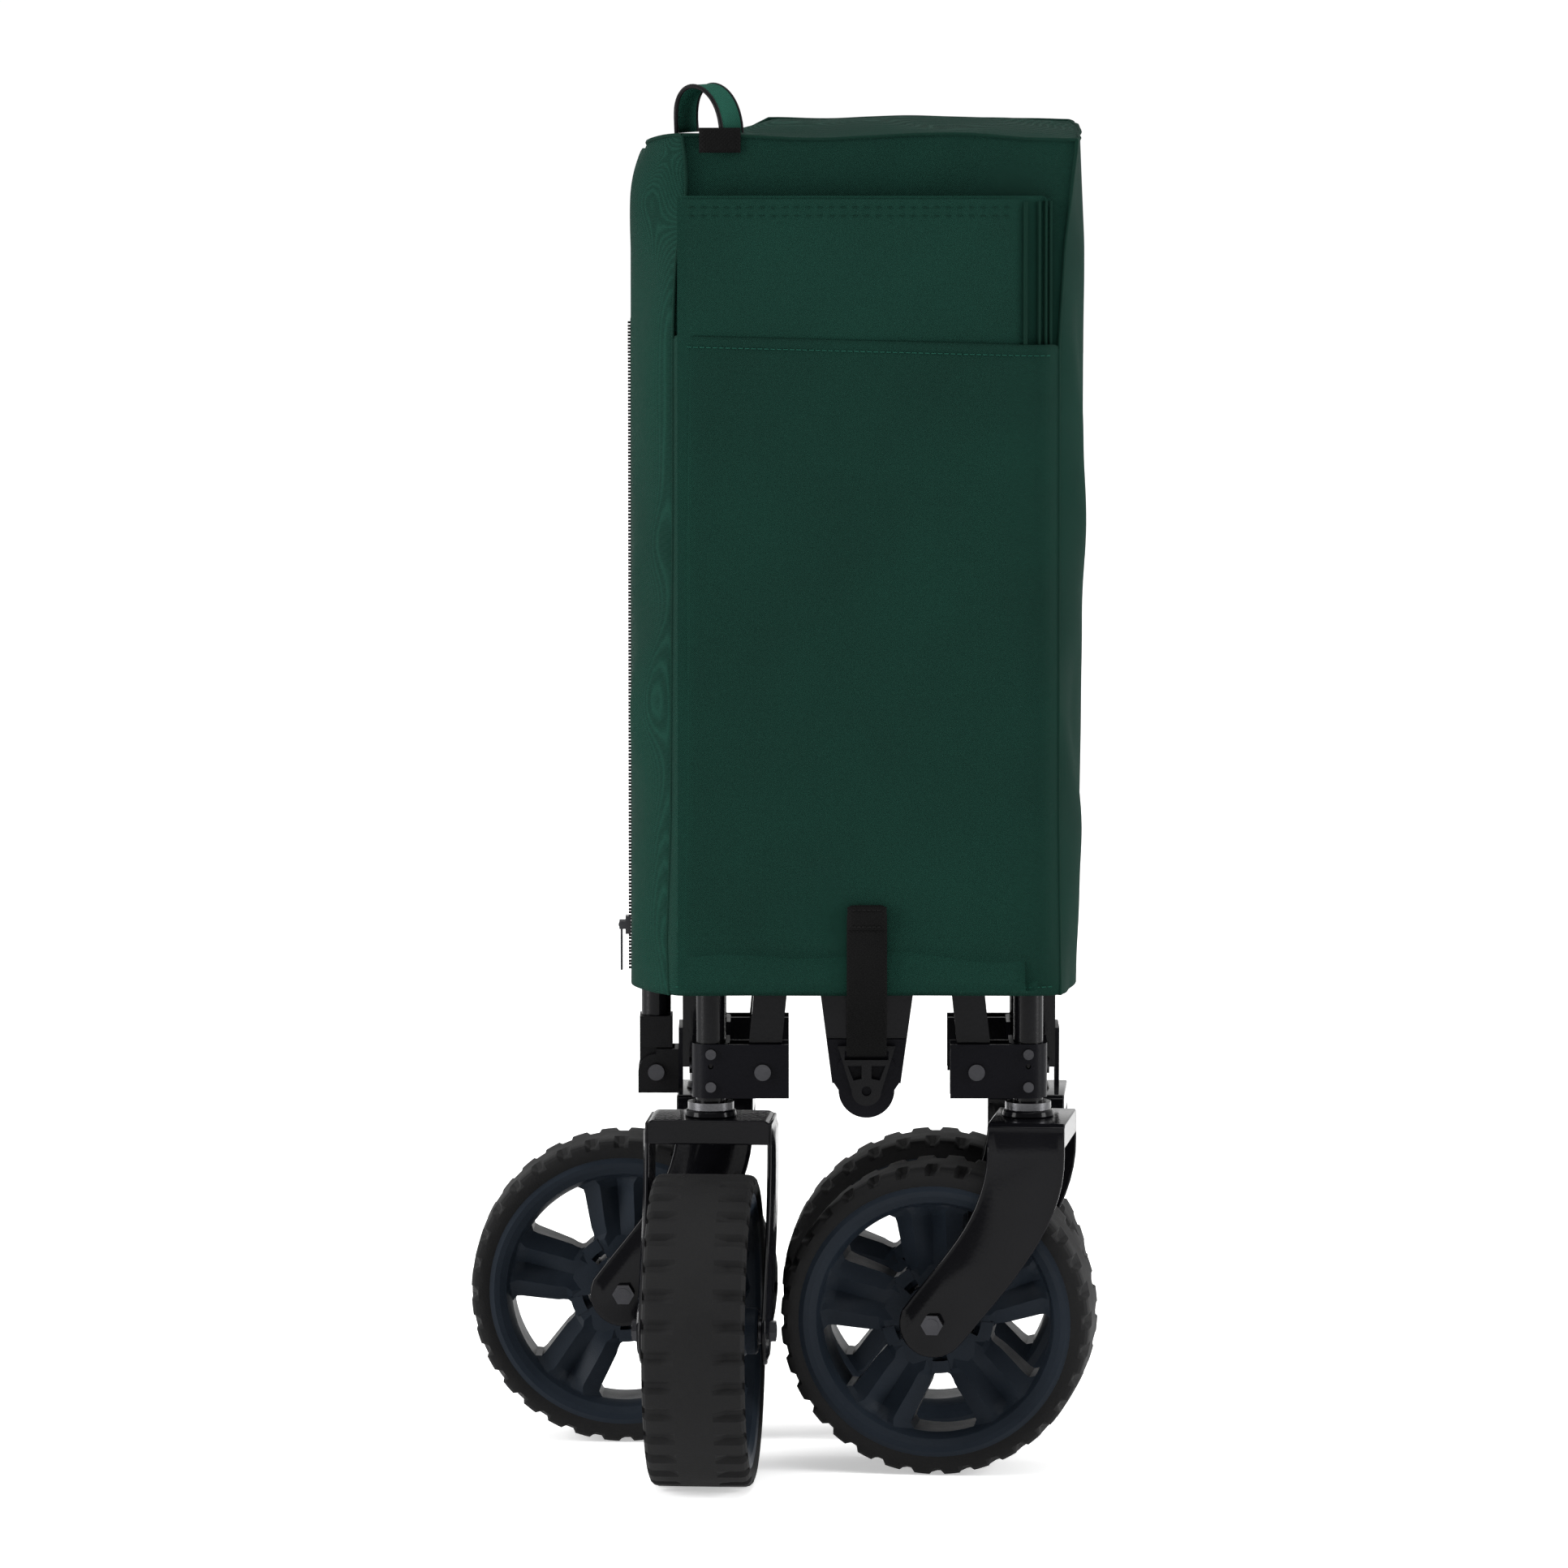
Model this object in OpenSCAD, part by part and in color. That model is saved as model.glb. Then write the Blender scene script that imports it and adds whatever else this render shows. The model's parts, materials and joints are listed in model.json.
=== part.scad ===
// Folding utility wagon, folded upright on its four casters under a zipped storage cover.
// X runs along the wagon's length with the pull handle at -X, the near long side faces -Y, Z is up.
// The floor is z = 0 and the corner posts stand symmetrically about X = 0, Y = 0. Sizes in mm.

/* [View] */
// Sub-part to draw, or all of them

/* [Corner posts] */
// Distance between post axes along X
post_dx = 193; // [180:1:240]
// Distance between post axes along Y
post_dy = 124; // [116:1:150]
// Post tube diameter
post_d = 18; // [16:0.5:22]
// Post tube wall
post_wall = 1.5; // [1:0.1:2]
// Height of the post's lower end
post_z0 = 227; // [227:1:230]
// Height of the post's upper end
post_z1 = 786; // [700:1:790]

/* [Corner brackets] */
// Underside of the bracket
bracket_z = 230; // [229:1:235]
// Bracket height
bracket_h = 33; // [28:1:40]
// Sheet thickness
bracket_t = 2.5; // [2:0.1:3]
// Reach from the post axis along the long side
bracket_reach = 47.5; // [44:0.5:55]
// Reach from the post axis along the end
bracket_end_reach = 32; // [30:0.5:36]

/* [Scissor tubes] */
// Tube width across the scissor plane
tube_w = 20; // [18:0.5:22]
// Tube thickness on the long sides
tube_t = 12; // [10:0.5:12]
// Tube width on the ends
end_tube_w = 16; // [14:0.5:18]
// Tube thickness on the ends
end_tube_t = 11; // [9:0.5:11]
// Tube wall
tube_wall = 1.2; // [0.8:0.1:1.6]
// Rivet radius
rivet_r = 3; // [2.5:0.1:3.5]
// Height of the bracket pivots
pivot_z = 246; // [244:1:248]
// Height of the upper hub pivots
top_z = 770; // [700:1:772]

/* [Casters] */
// Wheel diameter over the tread
wheel_d = 189; // [180:0.5:189.5]
// Wheel width over the tyre
wheel_w = 62; // [50:1:64]
// Distance from swivel axis to axle
trail = 54; // [50:1:56]
// Width over the fork
fork_w = 80; // [78:1:84]
// Fork sheet thickness
fork_t = 4; // [3:0.5:4]
// Top face of the fork crown
fork_z = 218; // [216:1:220]
// Tread grooves around the tyre
lug_count = 32; // [24:1:36]
// Spokes and windows in the rim
spoke_count = 5; // [4:1:6]
// Swivel angle of the near left caster
turn_near_left = 86; // [80:1:90]
// Swivel angle of the near right caster
turn_near_right = -7; // [-12:0.5:-3]
// Swivel angle of the far right caster
turn_far_right = -3; // [-6:0.5:-1]
// Swivel angle of the far left caster
turn_far_left = -1; // [-2:0.5:0]

/* [Pull handle] */
// Handle tube diameter
handle_d = 18; // [16:0.5:18]
// Length of the lower handle tube
handle_outer_len = 250; // [200:5:280]
// Width over the grip
grip_w = 96; // [80:1:98]
// Height of the grip loop
grip_h = 72; // [60:1:80]
// Grip thickness
grip_t = 16; // [14:0.5:16.4]

/* [Storage cover] */
// Height of the hem
cover_z0 = 296; // [290:1:310]
// Height of the top panel
cover_z1 = 818; // [800:1:820]
// Cloth thickness
cloth = 2; // [1:0.1:3]
// Height of the pocket mouth
pocket_z1 = 695; // [600:1:720]
// Top of the folded canopy in the pocket
canopy_z1 = 779; // [700:1:790]

/* [Hidden] */
$fn = 48;
px = post_dx/2;
py = post_dy/2;
pr = post_d/2;
wheel_r = wheel_d/2;
rim_r = wheel_r - 12;
layer_in = py;                                // long-side tube layer through the brackets
layer_out = py + pr + 0.5 + tube_t/2;         // long-side tube layer outside the posts
end_in = px;                                  // end tube layer through the brackets
end_out = px + end_tube_t + 1;                // end tube layer outside the brackets
hub_x = -2;                                   // middle of the long sides
bolt_in = 31.5;                               // bracket pivot from the post axis, long side
bolt_end = 22;                                // bracket pivot from the post axis, end
handle_x = -(end_out + end_tube_t/2 + 16.3);  // axis of the pull handle
handle_z = 238;                               // height of the handle pivot

function arc(cx, cy, r, a0, a1, n) = [for (i = [0:n]) let (a = a0 + (a1 - a0)*i/n) [cx + r*cos(a), cy + r*sin(a)]];
function bezier(p0, p1, p2, p3, n) = [for (i = [0:n]) let (t = i/n, s = 1 - t)
    s*s*s*p0 + 3*s*s*t*p1 + 3*s*t*t*p2 + t*t*t*p3];
function flip(pts) = [for (i = [len(pts)-1:-1:0]) pts[i]];

// ---- helpers ----
module corners() for (sx = [-1, 1], sy = [-1, 1]) translate([sx*px, sy*py, 0]) children();
module corner(sx, sy) translate([sx*px, sy*py, 0]) mirror([sx > 0 ? 1 : 0, 0, 0]) mirror([0, sy > 0 ? 1 : 0, 0]) children();
module ycyl(r, y0, y1) translate([0, y1, 0]) rotate([90, 0, 0]) cylinder(r = r, h = y1 - y0);
module xcyl(r, x0, x1) translate([x0, 0, 0]) rotate([0, 90, 0]) cylinder(r = r, h = x1 - x0);
module rivet_y(x, z, y0, y1) translate([x, 0, z]) {
    ycyl(rivet_r, y0, y1);
    ycyl(rivet_r + 2, y0 - 1.8, y0);
    ycyl(rivet_r + 2, y1, y1 + 1.8);
}
module rivet_x(y, z, x0, x1) translate([0, y, z]) {
    xcyl(rivet_r, x0, x1);
    xcyl(rivet_r + 2, x0 - 1.8, x0);
    xcyl(rivet_r + 2, x1, x1 + 1.8);
}
// rectangular tube in the XZ plane from (xa, za) to (xb, zb), its middle at y
module tube_xz(xa, za, xb, zb, y, w, t) {
    len = norm([xb - xa, zb - za]);
    translate([xa, y, za]) rotate([0, atan2(xb - xa, zb - za), 0]) difference() {
        translate([-w/2, -t/2, -10]) cube([w, t, len + 20]);
        translate([-w/2 + tube_wall, -t/2 + tube_wall, -11]) cube([w - 2*tube_wall, t - 2*tube_wall, len + 22]);
    }
}

// ---- frame ----
a_bottom = [-px + bolt_in, pivot_z];
a_top = [hub_x - 11, top_z];
b_bottom = [hub_x - 12.2, pivot_z + 6];
b_top = [-px + 17, top_z - 12];
function cross_pt(p, q, r, s) = let (m1 = (q[0]-p[0])/(q[1]-p[1]), m2 = (s[0]-r[0])/(s[1]-r[1]),
    z = (r[0] - p[0] + m1*p[1] - m2*r[1])/(m1 - m2)) [p[0] + m1*(z - p[1]), z];
mid_left = cross_pt(a_bottom, a_top, b_bottom, b_top);
d_bottom = [px - bolt_in, pivot_z];
d_top = [hub_x + 11, top_z];
c_bottom = [hub_x + 12.2, pivot_z + 6];
c_top = [px - 17, top_z - 12];
mid_right = cross_pt(d_bottom, d_top, c_bottom, c_top);
e_bottom = [-py + bolt_end, pivot_z];
e_top = [-9, top_z];
f_bottom = [-9, pivot_z + 6];
f_top = [-py + 17, top_z - 12];
mid_end = cross_pt(e_bottom, e_top, f_bottom, f_top);

module long_holes(sy) for (p = [a_bottom, a_top, b_bottom, b_top, mid_left, d_bottom, d_top, c_bottom, c_top, mid_right])
    translate([p[0], 0, p[1]]) ycyl(rivet_r, sy > 0 ? 40 : -100, sy > 0 ? 100 : -40);
module end_holes(sx) for (s = [-1, 1], p = [e_bottom, e_top, f_bottom, f_top, mid_end])
    translate([0, s*p[0], p[1]]) xcyl(rivet_r, sx > 0 ? 80 : -125, sx > 0 ? 125 : -80);

module corner_posts() color([0.06, 0.06, 0.065]) for (sx = [-1, 1], sy = [-1, 1]) translate([sx*px, sy*py, post_z0]) difference() {
    cylinder(r = pr, h = post_z1 - post_z0);
    translate([0, 0, -1]) cylinder(r = pr - post_wall, h = post_z1 - post_z0 + 2);
}
// corner bracket in its own frame: post at the origin, long side towards +X, end towards +Y
module bracket_body() difference() {
    translate([0, 0, bracket_z]) union() {
        cylinder(r = pr + bracket_t, h = bracket_h);
        translate([0, -pr - bracket_t, 0]) cube([bracket_reach, bracket_t, bracket_h]);
        translate([0, pr, 0]) cube([bracket_reach, bracket_t, bracket_h]);
        translate([-pr - bracket_t, 0, 0]) cube([bracket_t, bracket_end_reach, bracket_h]);
        translate([pr, 0, 0]) cube([bracket_t, bracket_end_reach, bracket_h]);
    }
    translate([0, 0, bracket_z - 1]) cylinder(r = pr, h = bracket_h + 2);
    translate([bolt_in, 0, pivot_z]) ycyl(rivet_r, -20, 20);
    translate([0, bolt_end, pivot_z]) xcyl(rivet_r, -20, 20);
    for (z = [bracket_z + 7, bracket_z + 19.5, bracket_z + 27]) translate([0, 0, z]) ycyl(1.6, -20, -pr + 1);
}
module bracket_near_left() color([0.05, 0.05, 0.055]) corner(-1, -1) bracket_body();
module bracket_near_right() color([0.05, 0.05, 0.055]) corner(1, -1) bracket_body();
module bracket_far_left() color([0.05, 0.05, 0.055]) corner(-1, 1) bracket_body();
module bracket_far_right() color([0.05, 0.05, 0.055]) corner(1, 1) bracket_body();
// pivot bolts and post screws of the four brackets
module bracket_bolts() color([0.09, 0.09, 0.1]) for (sx = [-1, 1], sy = [-1, 1]) corner(sx, sy) {
    rivet_y(bolt_in, pivot_z, -pr - bracket_t, pr + bracket_t);
    rivet_x(bolt_end, pivot_z, -pr - bracket_t, pr + bracket_t);
    for (z = [bracket_z + 7, bracket_z + 27]) translate([0, 0, z]) {
        ycyl(1.6, -pr - bracket_t, -pr);
        ycyl(3.2, -pr - bracket_t - 1.6, -pr - bracket_t);
    }
}
module scissor_rivets() color([0.12, 0.12, 0.13]) {
    for (sy = [-1, 1], p = [mid_left, mid_right]) mirror([0, sy > 0 ? 1 : 0, 0])
        rivet_y(p[0], p[1], -layer_out - tube_t/2, -layer_in + tube_t/2);
    for (sx = [-1, 1], s = [-1, 1]) mirror([sx > 0 ? 1 : 0, 0, 0])
        rivet_x(s*mid_end[0], mid_end[1], -end_out - end_tube_t/2, -end_in + end_tube_t/2);
}
// bearing plug pressed into each post for the caster's kingpin, with its upper race
module caster_sockets() color([0.2, 0.2, 0.21]) corners() difference() {
    union() {
        translate([0, 0, post_z0]) cylinder(r = pr - post_wall, h = 35);
        translate([0, 0, fork_z + 4.5]) cylinder(r = 14, h = post_z0 - fork_z - 4.5);
    }
    cylinder(r = 5.05, h = 400);
}
module scissor_inner(sy) difference() {
    union() {
        tube_xz(a_bottom[0], a_bottom[1], a_top[0], a_top[1], sy*layer_in, tube_w, tube_t);
        tube_xz(d_bottom[0], d_bottom[1], d_top[0], d_top[1], sy*layer_in, tube_w, tube_t);
    }
    long_holes(sy);
}
module scissor_outer(sy) difference() {
    union() {
        tube_xz(b_bottom[0], b_bottom[1], b_top[0], b_top[1], sy*layer_out, tube_w, tube_t);
        tube_xz(c_bottom[0], c_bottom[1], c_top[0], c_top[1], sy*layer_out, tube_w, tube_t);
    }
    long_holes(sy);
}
module scissor_near_inner() color([0.06, 0.06, 0.065]) scissor_inner(-1);
module scissor_near_outer() color([0.06, 0.06, 0.065]) scissor_outer(-1);
module scissor_far_inner() color([0.06, 0.06, 0.065]) scissor_inner(1);
module scissor_far_outer() color([0.06, 0.06, 0.065]) scissor_outer(1);
module end_pair(sx, p, q, x) difference() {
    for (s = [-1, 1]) rotate([0, 0, 90]) tube_xz(s*p[0], p[1], s*q[0], q[1], -sx*x, end_tube_w, end_tube_t);
    end_holes(sx);
}
module scissor_front_inner() color([0.06, 0.06, 0.065]) end_pair(-1, e_bottom, e_top, end_in);
module scissor_front_outer() color([0.06, 0.06, 0.065]) end_pair(-1, f_bottom, f_top, end_out);
module scissor_rear_inner() color([0.06, 0.06, 0.065]) end_pair(1, e_bottom, e_top, end_in);
module scissor_rear_outer() color([0.06, 0.06, 0.065]) end_pair(1, f_bottom, f_top, end_out);

// hub outline in the plane of a scissor side: a round tip with shoulders below the tubes
module hub_outline(half_top, tip_r, tip_z, z_top) {
    translate([0, tip_z]) circle(r = tip_r);
    polygon([[-tip_r, tip_z], [tip_r, tip_z], [half_top - 3, tip_z + 6], [half_top, z_top], [-half_top, z_top], [-half_top + 3, tip_z + 6]]);
}
// a pair of hub plates with their rivets; the plane is XZ and the layer's middle is at y
module hub_long(sy) for (s = [-1, 1]) {
    y = -layer_out + s*(tube_t/2 + 1.25);
    mirror([0, sy > 0 ? 1 : 0, 0]) difference() {
        translate([hub_x, y + 1.25, 0]) rotate([90, 0, 0]) linear_extrude(2.5) hub_outline(24, 17, 237, 268);
        for (p = [b_bottom, c_bottom]) translate([p[0], 0, p[1]]) ycyl(rivet_r, -100, -40);
        translate([hub_x, 0, 237]) ycyl(rivet_r, -100, -40);
    }
}
module hub_rivets_long(sy) mirror([0, sy > 0 ? 1 : 0, 0]) {
    for (p = [b_bottom, c_bottom]) rivet_y(p[0], p[1], -layer_out - tube_t/2 - 2.5, -layer_out + tube_t/2 + 2.5);
    translate([hub_x, 0, 237]) ycyl(rivet_r, -layer_out - tube_t/2 - 5.8, -layer_out + tube_t/2 + 2.5);
}
module lower_hub_near() color([0.05, 0.05, 0.055]) { hub_long(-1); hub_rivets_long(-1); }
module lower_hub_far() color([0.05, 0.05, 0.055]) { hub_long(1); hub_rivets_long(1); }
module hub_end(sx) mirror([sx > 0 ? 1 : 0, 0, 0]) {
    for (s = [-1, 1]) difference() {
        translate([-end_out + s*(end_tube_t/2 + 1.25) - 1.25, 0, 0]) rotate([90, 0, 90]) linear_extrude(2.5) hub_outline(19, 15, 237, 266);
        for (k = [-1, 1]) translate([0, k*f_bottom[0], f_bottom[1]]) xcyl(rivet_r, -130, -80);
    }
    for (k = [-1, 1]) translate([0, k*f_bottom[0], f_bottom[1]]) {
        xcyl(rivet_r, -end_out - end_tube_t/2 - 2.5, -end_out + end_tube_t/2 + 2.5);
        xcyl(rivet_r + 1.5, -end_out + end_tube_t/2 + 2.5, -end_out + end_tube_t/2 + 4);
    }
}
module lower_hub_front() color([0.05, 0.05, 0.055]) hub_end(-1);
module lower_hub_rear() color([0.05, 0.05, 0.055]) hub_end(1);
// sliders on the posts, their tube ears, the upper hubs and the post caps
module upper_fittings() color([0.07, 0.07, 0.075]) {
    for (sx = [-1, 1], sy = [-1, 1]) corner(sx, sy) {
        difference() {
            union() {
                translate([0, 0, top_z - 30]) cylinder(r = pr + 1.8, h = 32);
                translate([0, -pr - 0.4, top_z - 28]) cube([26, 1.8, 28]);
                translate([-pr + 2.6, 0, top_z - 28]) cube([1.8, 26, 28]);
            }
            translate([0, 0, top_z - 31]) cylinder(r = pr + 0.05, h = 34);
            translate([17, 0, top_z - 12]) ycyl(rivet_r, -20, 0);
            translate([0, 17, top_z - 12]) xcyl(rivet_r, -20, 0);
        }
        translate([17, 0, top_z - 12]) ycyl(rivet_r, -pr - 1.5 - tube_t, -pr + 1.4);
        translate([0, 17, top_z - 12]) xcyl(rivet_r, -end_tube_t*1.5 - 1, -pr + 4.4);
        translate([0, 0, post_z1]) cylinder(r = pr, h = 3);
        translate([0, 0, post_z1 - 12]) cylinder(r = pr - post_wall, h = 12);
    }
    for (sy = [-1, 1], s = [-1, 1]) difference() {
        translate([hub_x - 22, sy*layer_in + s*(tube_t/2 + 1.2) - 1, top_z - 14]) cube([44, 2, 27]);
        for (k = [-1, 1]) translate([hub_x + k*11, 0, top_z]) ycyl(rivet_r, -100, 100);
    }
    for (sy = [-1, 1], k = [-1, 1]) translate([hub_x + k*11, sy*layer_in, top_z]) ycyl(rivet_r, -tube_t/2 - 3, tube_t/2 + 3);
    for (sx = [-1, 1], s = [-1, 1]) difference() {
        translate([sx*end_in + s*(end_tube_t/2 + 1) - 0.8, -18, top_z - 14]) cube([1.6, 36, 27]);
        for (k = [-1, 1]) translate([0, k*9, top_z]) xcyl(rivet_r, -130, 130);
    }
    for (sx = [-1, 1], k = [-1, 1]) translate([sx*end_in, k*9, top_z]) xcyl(rivet_r, -end_tube_t/2 - 2.4, end_tube_t/2 + 2.4);
}
// the tub's cloth and floor, gathered upright between the posts
module folded_tub() color([0.09, 0.2, 0.16]) translate([0, 0, 300]) linear_extrude(455) polygon(concat(
    [for (i = [0:13]) [-82 + i*164/13, i % 2 == 0 ? -50 : -41]],
    [for (i = [13:-1:0]) [-82 + i*164/13, i % 2 == 0 ? 50 : 41]]));

// ---- hook strap and its clip on the near lower hub ----
module strap_clip() color([0.05, 0.05, 0.055]) translate([hub_x, -layer_out - tube_t/2 - 4.6, 0]) rotate([90, 0, 0]) linear_extrude(3.4) difference() {
    union() {
        translate([0, 237]) circle(r = 9);
        polygon([[-9, 237], [9, 237], [17.5, 264.5], [-17.5, 264.5]]);
    }
    translate([-13.3, 256]) square([26.6, 5.5]);
    polygon([[-11.5, 252.5], [-3, 252.5], [-3, 244.5], [-8, 243.5]]);
    polygon([[11.5, 252.5], [3, 252.5], [3, 244.5], [8, 243.5]]);
    translate([0, 237]) circle(r = rivet_r);
}
strap_y = 113.4;
module hook_strap() color([0.03, 0.03, 0.03]) translate([hub_x - 12.3, 0, 0]) rotate([90, 0, 90]) linear_extrude(24.6) polygon([
    [-strap_y, 354], [-strap_y - 1.6, 354], [-strap_y - 1.6, 296.5], [-93.4, 264.8], [-93.4, 256.5], [-91.8, 256.5], [-91.8, 265.5], [-strap_y, 296]]);

// ---- casters ----
module at_caster(sx, sy, turn) translate([sx*px, sy*py, 0]) rotate([0, 0, turn]) children();
// side outline of a fork arm, its axle at the origin of the outline; inset shrinks it for the raised centre
module arm_outline(inset) {
    lead = bezier([trail + 26 - inset, 105], [trail + 27 - inset, 62], [50 - inset, 28], [17 - inset, -12 + inset], 12);
    back = bezier([trail - 21 + inset, 105], [trail - 23 + inset, 62], [4 + inset, 40], [-18 + inset, 9.5], 12);
    polygon(concat([[trail + 26 - inset, fork_z - wheel_r - inset]], lead, [[0, 0]], flip(back), [[trail - 21 + inset, fork_z - wheel_r - inset]]));
    circle(r = 20.6 - inset);
}
module fork_body() difference() {
    translate([-trail, 0, wheel_r]) union() {
        for (s = [-1, 1]) {
            translate([0, s*(fork_w/2 - (fork_t - 1)/2 - 1) + (fork_t - 1)/2, 0]) rotate([90, 0, 0]) linear_extrude(fork_t - 1) arm_outline(0);
            translate([0, s*(fork_w/2 - 0.5) + 0.5, 0]) rotate([90, 0, 0]) linear_extrude(1) arm_outline(5);
        }
        translate([trail - 21, -fork_w/2 + 1, fork_z - wheel_r - 4]) cube([47, fork_w - 2, 4]);
        translate([trail - 21, -fork_w/2 + 1, fork_z - wheel_r - 15]) cube([3, fork_w - 2, 12]);
        translate([trail, 0, fork_z - wheel_r]) cylinder(r = 16, h = 4);
    }
    cylinder(r = 5, h = 300);
    translate([-trail, 0, wheel_r]) ycyl(4, -60, 60);
}
// kingpin with its nut, and the axle bolt with its nut and spacers
module caster_bolts() {
    translate([0, 0, fork_z - 10]) cylinder(r = 5, h = 50);
    translate([0, 0, fork_z - 11]) cylinder(r = 9, h = 7, $fn = 6);
    translate([-trail, 0, wheel_r]) {
        ycyl(4, -fork_w/2 - 4, fork_w/2 + 4);
        for (s = [-1, 1]) {
            translate([0, s*(fork_w/2 + 1.8) - 1.8, 0]) rotate([-90, 0, 0]) cylinder(r = 6.8, h = 3.6, $fn = 6);
            translate([0, s*34.65 - 1.35, 0]) rotate([-90, 0, 0]) cylinder(r = 8, h = 2.7);
        }
    }
}
// window between two spokes: an outer arc, straight sides and a round inner end
module window() polygon(concat(
    [[wheel_r*0.69*cos(18), -wheel_r*0.69*sin(18)]], arc(0, 0, wheel_r*0.735, -15.5, 15.5, 6),
    [[wheel_r*0.69*cos(18), wheel_r*0.69*sin(18)]], arc(wheel_r*0.43, 0, wheel_r*0.075, 100, 260, 8)));
module rim_body() translate([-trail, 0, wheel_r]) rotate([90, 0, 0]) difference() {
    union() {
        translate([0, 0, -14]) linear_extrude(28) difference() {
            circle(r = rim_r - 8, $fn = 96);
            for (i = [0:spoke_count-1]) rotate(58 + i*360/spoke_count) window();
            circle(r = 20);
        }
        difference() {
            translate([0, 0, -wheel_w/2 + 2]) cylinder(r = rim_r, h = wheel_w - 4, $fn = 96);
            translate([0, 0, -wheel_w/2 + 1]) cylinder(r = rim_r - 8, h = wheel_w - 2, $fn = 96);
        }
        translate([0, 0, -25]) cylinder(r = 30, h = 50);
        translate([0, 0, -33]) cylinder(r = 15, h = 66);
    }
    translate([0, 0, -40]) cylinder(r = 4.05, h = 80);
    for (i = [0:spoke_count-1]) rotate(58 + i*360/spoke_count) translate([25.5, 0, -40]) union() {
        translate([-2.2, -3, 0]) cube([4.4, 6, 80]);
        for (s = [-1, 1]) translate([0, 3*s, 0]) cylinder(r = 2.2, h = 80, $fn = 16);
    }
}
module tyre_body() translate([-trail, 0, wheel_r]) rotate([90, 0, 0]) difference() {
    rotate_extrude($fn = 96) polygon([[rim_r, -wheel_w/2 + 2], [wheel_r - 8, -wheel_w/2], [wheel_r - 3, -wheel_w/2],
        [wheel_r, -wheel_w/2 + 4], [wheel_r, wheel_w/2 - 4], [wheel_r - 3, wheel_w/2], [wheel_r - 8, wheel_w/2], [rim_r, wheel_w/2 - 2]]);
    for (i = [0:lug_count-1], s = [-1, 1]) rotate((i + 0.5)*360/lug_count)
        translate([wheel_r - 2.2, -3.5, s > 0 ? 11 : -wheel_w/2 - 1]) cube([6, 7, wheel_w/2 - 10]);
}
module fork_near_left() color([0.05, 0.05, 0.055]) at_caster(-1, -1, turn_near_left) fork_body();
module fork_near_right() color([0.05, 0.05, 0.055]) at_caster(1, -1, turn_near_right) fork_body();
module fork_far_left() color([0.05, 0.05, 0.055]) at_caster(-1, 1, turn_far_left) fork_body();
module fork_far_right() color([0.05, 0.05, 0.055]) at_caster(1, 1, turn_far_right) fork_body();
module bolts_near_left() color([0.12, 0.12, 0.13]) at_caster(-1, -1, turn_near_left) caster_bolts();
module bolts_near_right() color([0.12, 0.12, 0.13]) at_caster(1, -1, turn_near_right) caster_bolts();
module bolts_far_left() color([0.12, 0.12, 0.13]) at_caster(-1, 1, turn_far_left) caster_bolts();
module bolts_far_right() color([0.12, 0.12, 0.13]) at_caster(1, 1, turn_far_right) caster_bolts();
module rim_near_left() color([0.14, 0.16, 0.18]) at_caster(-1, -1, turn_near_left) rim_body();
module rim_near_right() color([0.14, 0.16, 0.18]) at_caster(1, -1, turn_near_right) rim_body();
module rim_far_left() color([0.14, 0.16, 0.18]) at_caster(-1, 1, turn_far_left) rim_body();
module rim_far_right() color([0.14, 0.16, 0.18]) at_caster(1, 1, turn_far_right) rim_body();
module tyre_near_left() color([0.07, 0.07, 0.07]) at_caster(-1, -1, turn_near_left) tyre_body();
module tyre_near_right() color([0.07, 0.07, 0.07]) at_caster(1, -1, turn_near_right) tyre_body();
module tyre_far_left() color([0.07, 0.07, 0.07]) at_caster(-1, 1, turn_far_left) tyre_body();
module tyre_far_right() color([0.07, 0.07, 0.07]) at_caster(1, 1, turn_far_right) tyre_body();

// ---- pull handle ----
module handle_yoke() color([0.05, 0.05, 0.055]) difference() {
    union() {
        for (s = [-1, 1]) translate([0, s*12 + 1.5, 0]) rotate([90, 0, 0]) linear_extrude(3) union() {
            translate([handle_x, handle_z]) circle(r = 11);
            translate([handle_x, handle_z - 13]) square([13.8, 27]);
            translate([handle_x - 11, handle_z - 13]) square([22, 13]);
        }
        translate([handle_x + 11.3, -13.5, handle_z - 13]) cube([2.5, 27, 27]);
    }
    translate([handle_x, 0, handle_z]) ycyl(3, -20, 20);
}
module handle_pivot_bolt() color([0.12, 0.12, 0.13]) translate([handle_x, 0, handle_z]) {
    ycyl(3, -13.5, 13.5);
    ycyl(5, -16.5, -13.5);
    translate([0, 13.5, 0]) rotate([-90, 0, 0]) cylinder(r = 5.5, h = 3, $fn = 6);
}
module handle_socket() color([0.05, 0.05, 0.055]) difference() {
    union() {
        translate([handle_x, 0, handle_z]) ycyl(10, -10.1, 10.1);
        translate([handle_x - 10, -10.1, handle_z]) cube([20, 20.2, 14]);
        translate([handle_x - 10, -12, handle_z + 15]) cube([20, 24, 19]);
        translate([handle_x - 10, -10.1, handle_z + 13]) cube([20, 20.2, 3]);
    }
    translate([handle_x, 0, handle_z]) ycyl(3.05, -30, 30);
    translate([handle_x, 0, handle_z + 15]) cylinder(r = handle_d/2, h = 30);
}
tube_z0 = handle_z + 15;
outer_z1 = tube_z0 + handle_outer_len;
module handle_outer_tube() color([0.06, 0.06, 0.065]) translate([handle_x, 0, tube_z0]) difference() {
    cylinder(r = handle_d/2, h = handle_outer_len);
    translate([0, 0, -1]) cylinder(r = handle_d/2 - 1.5, h = handle_outer_len + 2);
}
grip_z0 = outer_z1 + 14;
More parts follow.
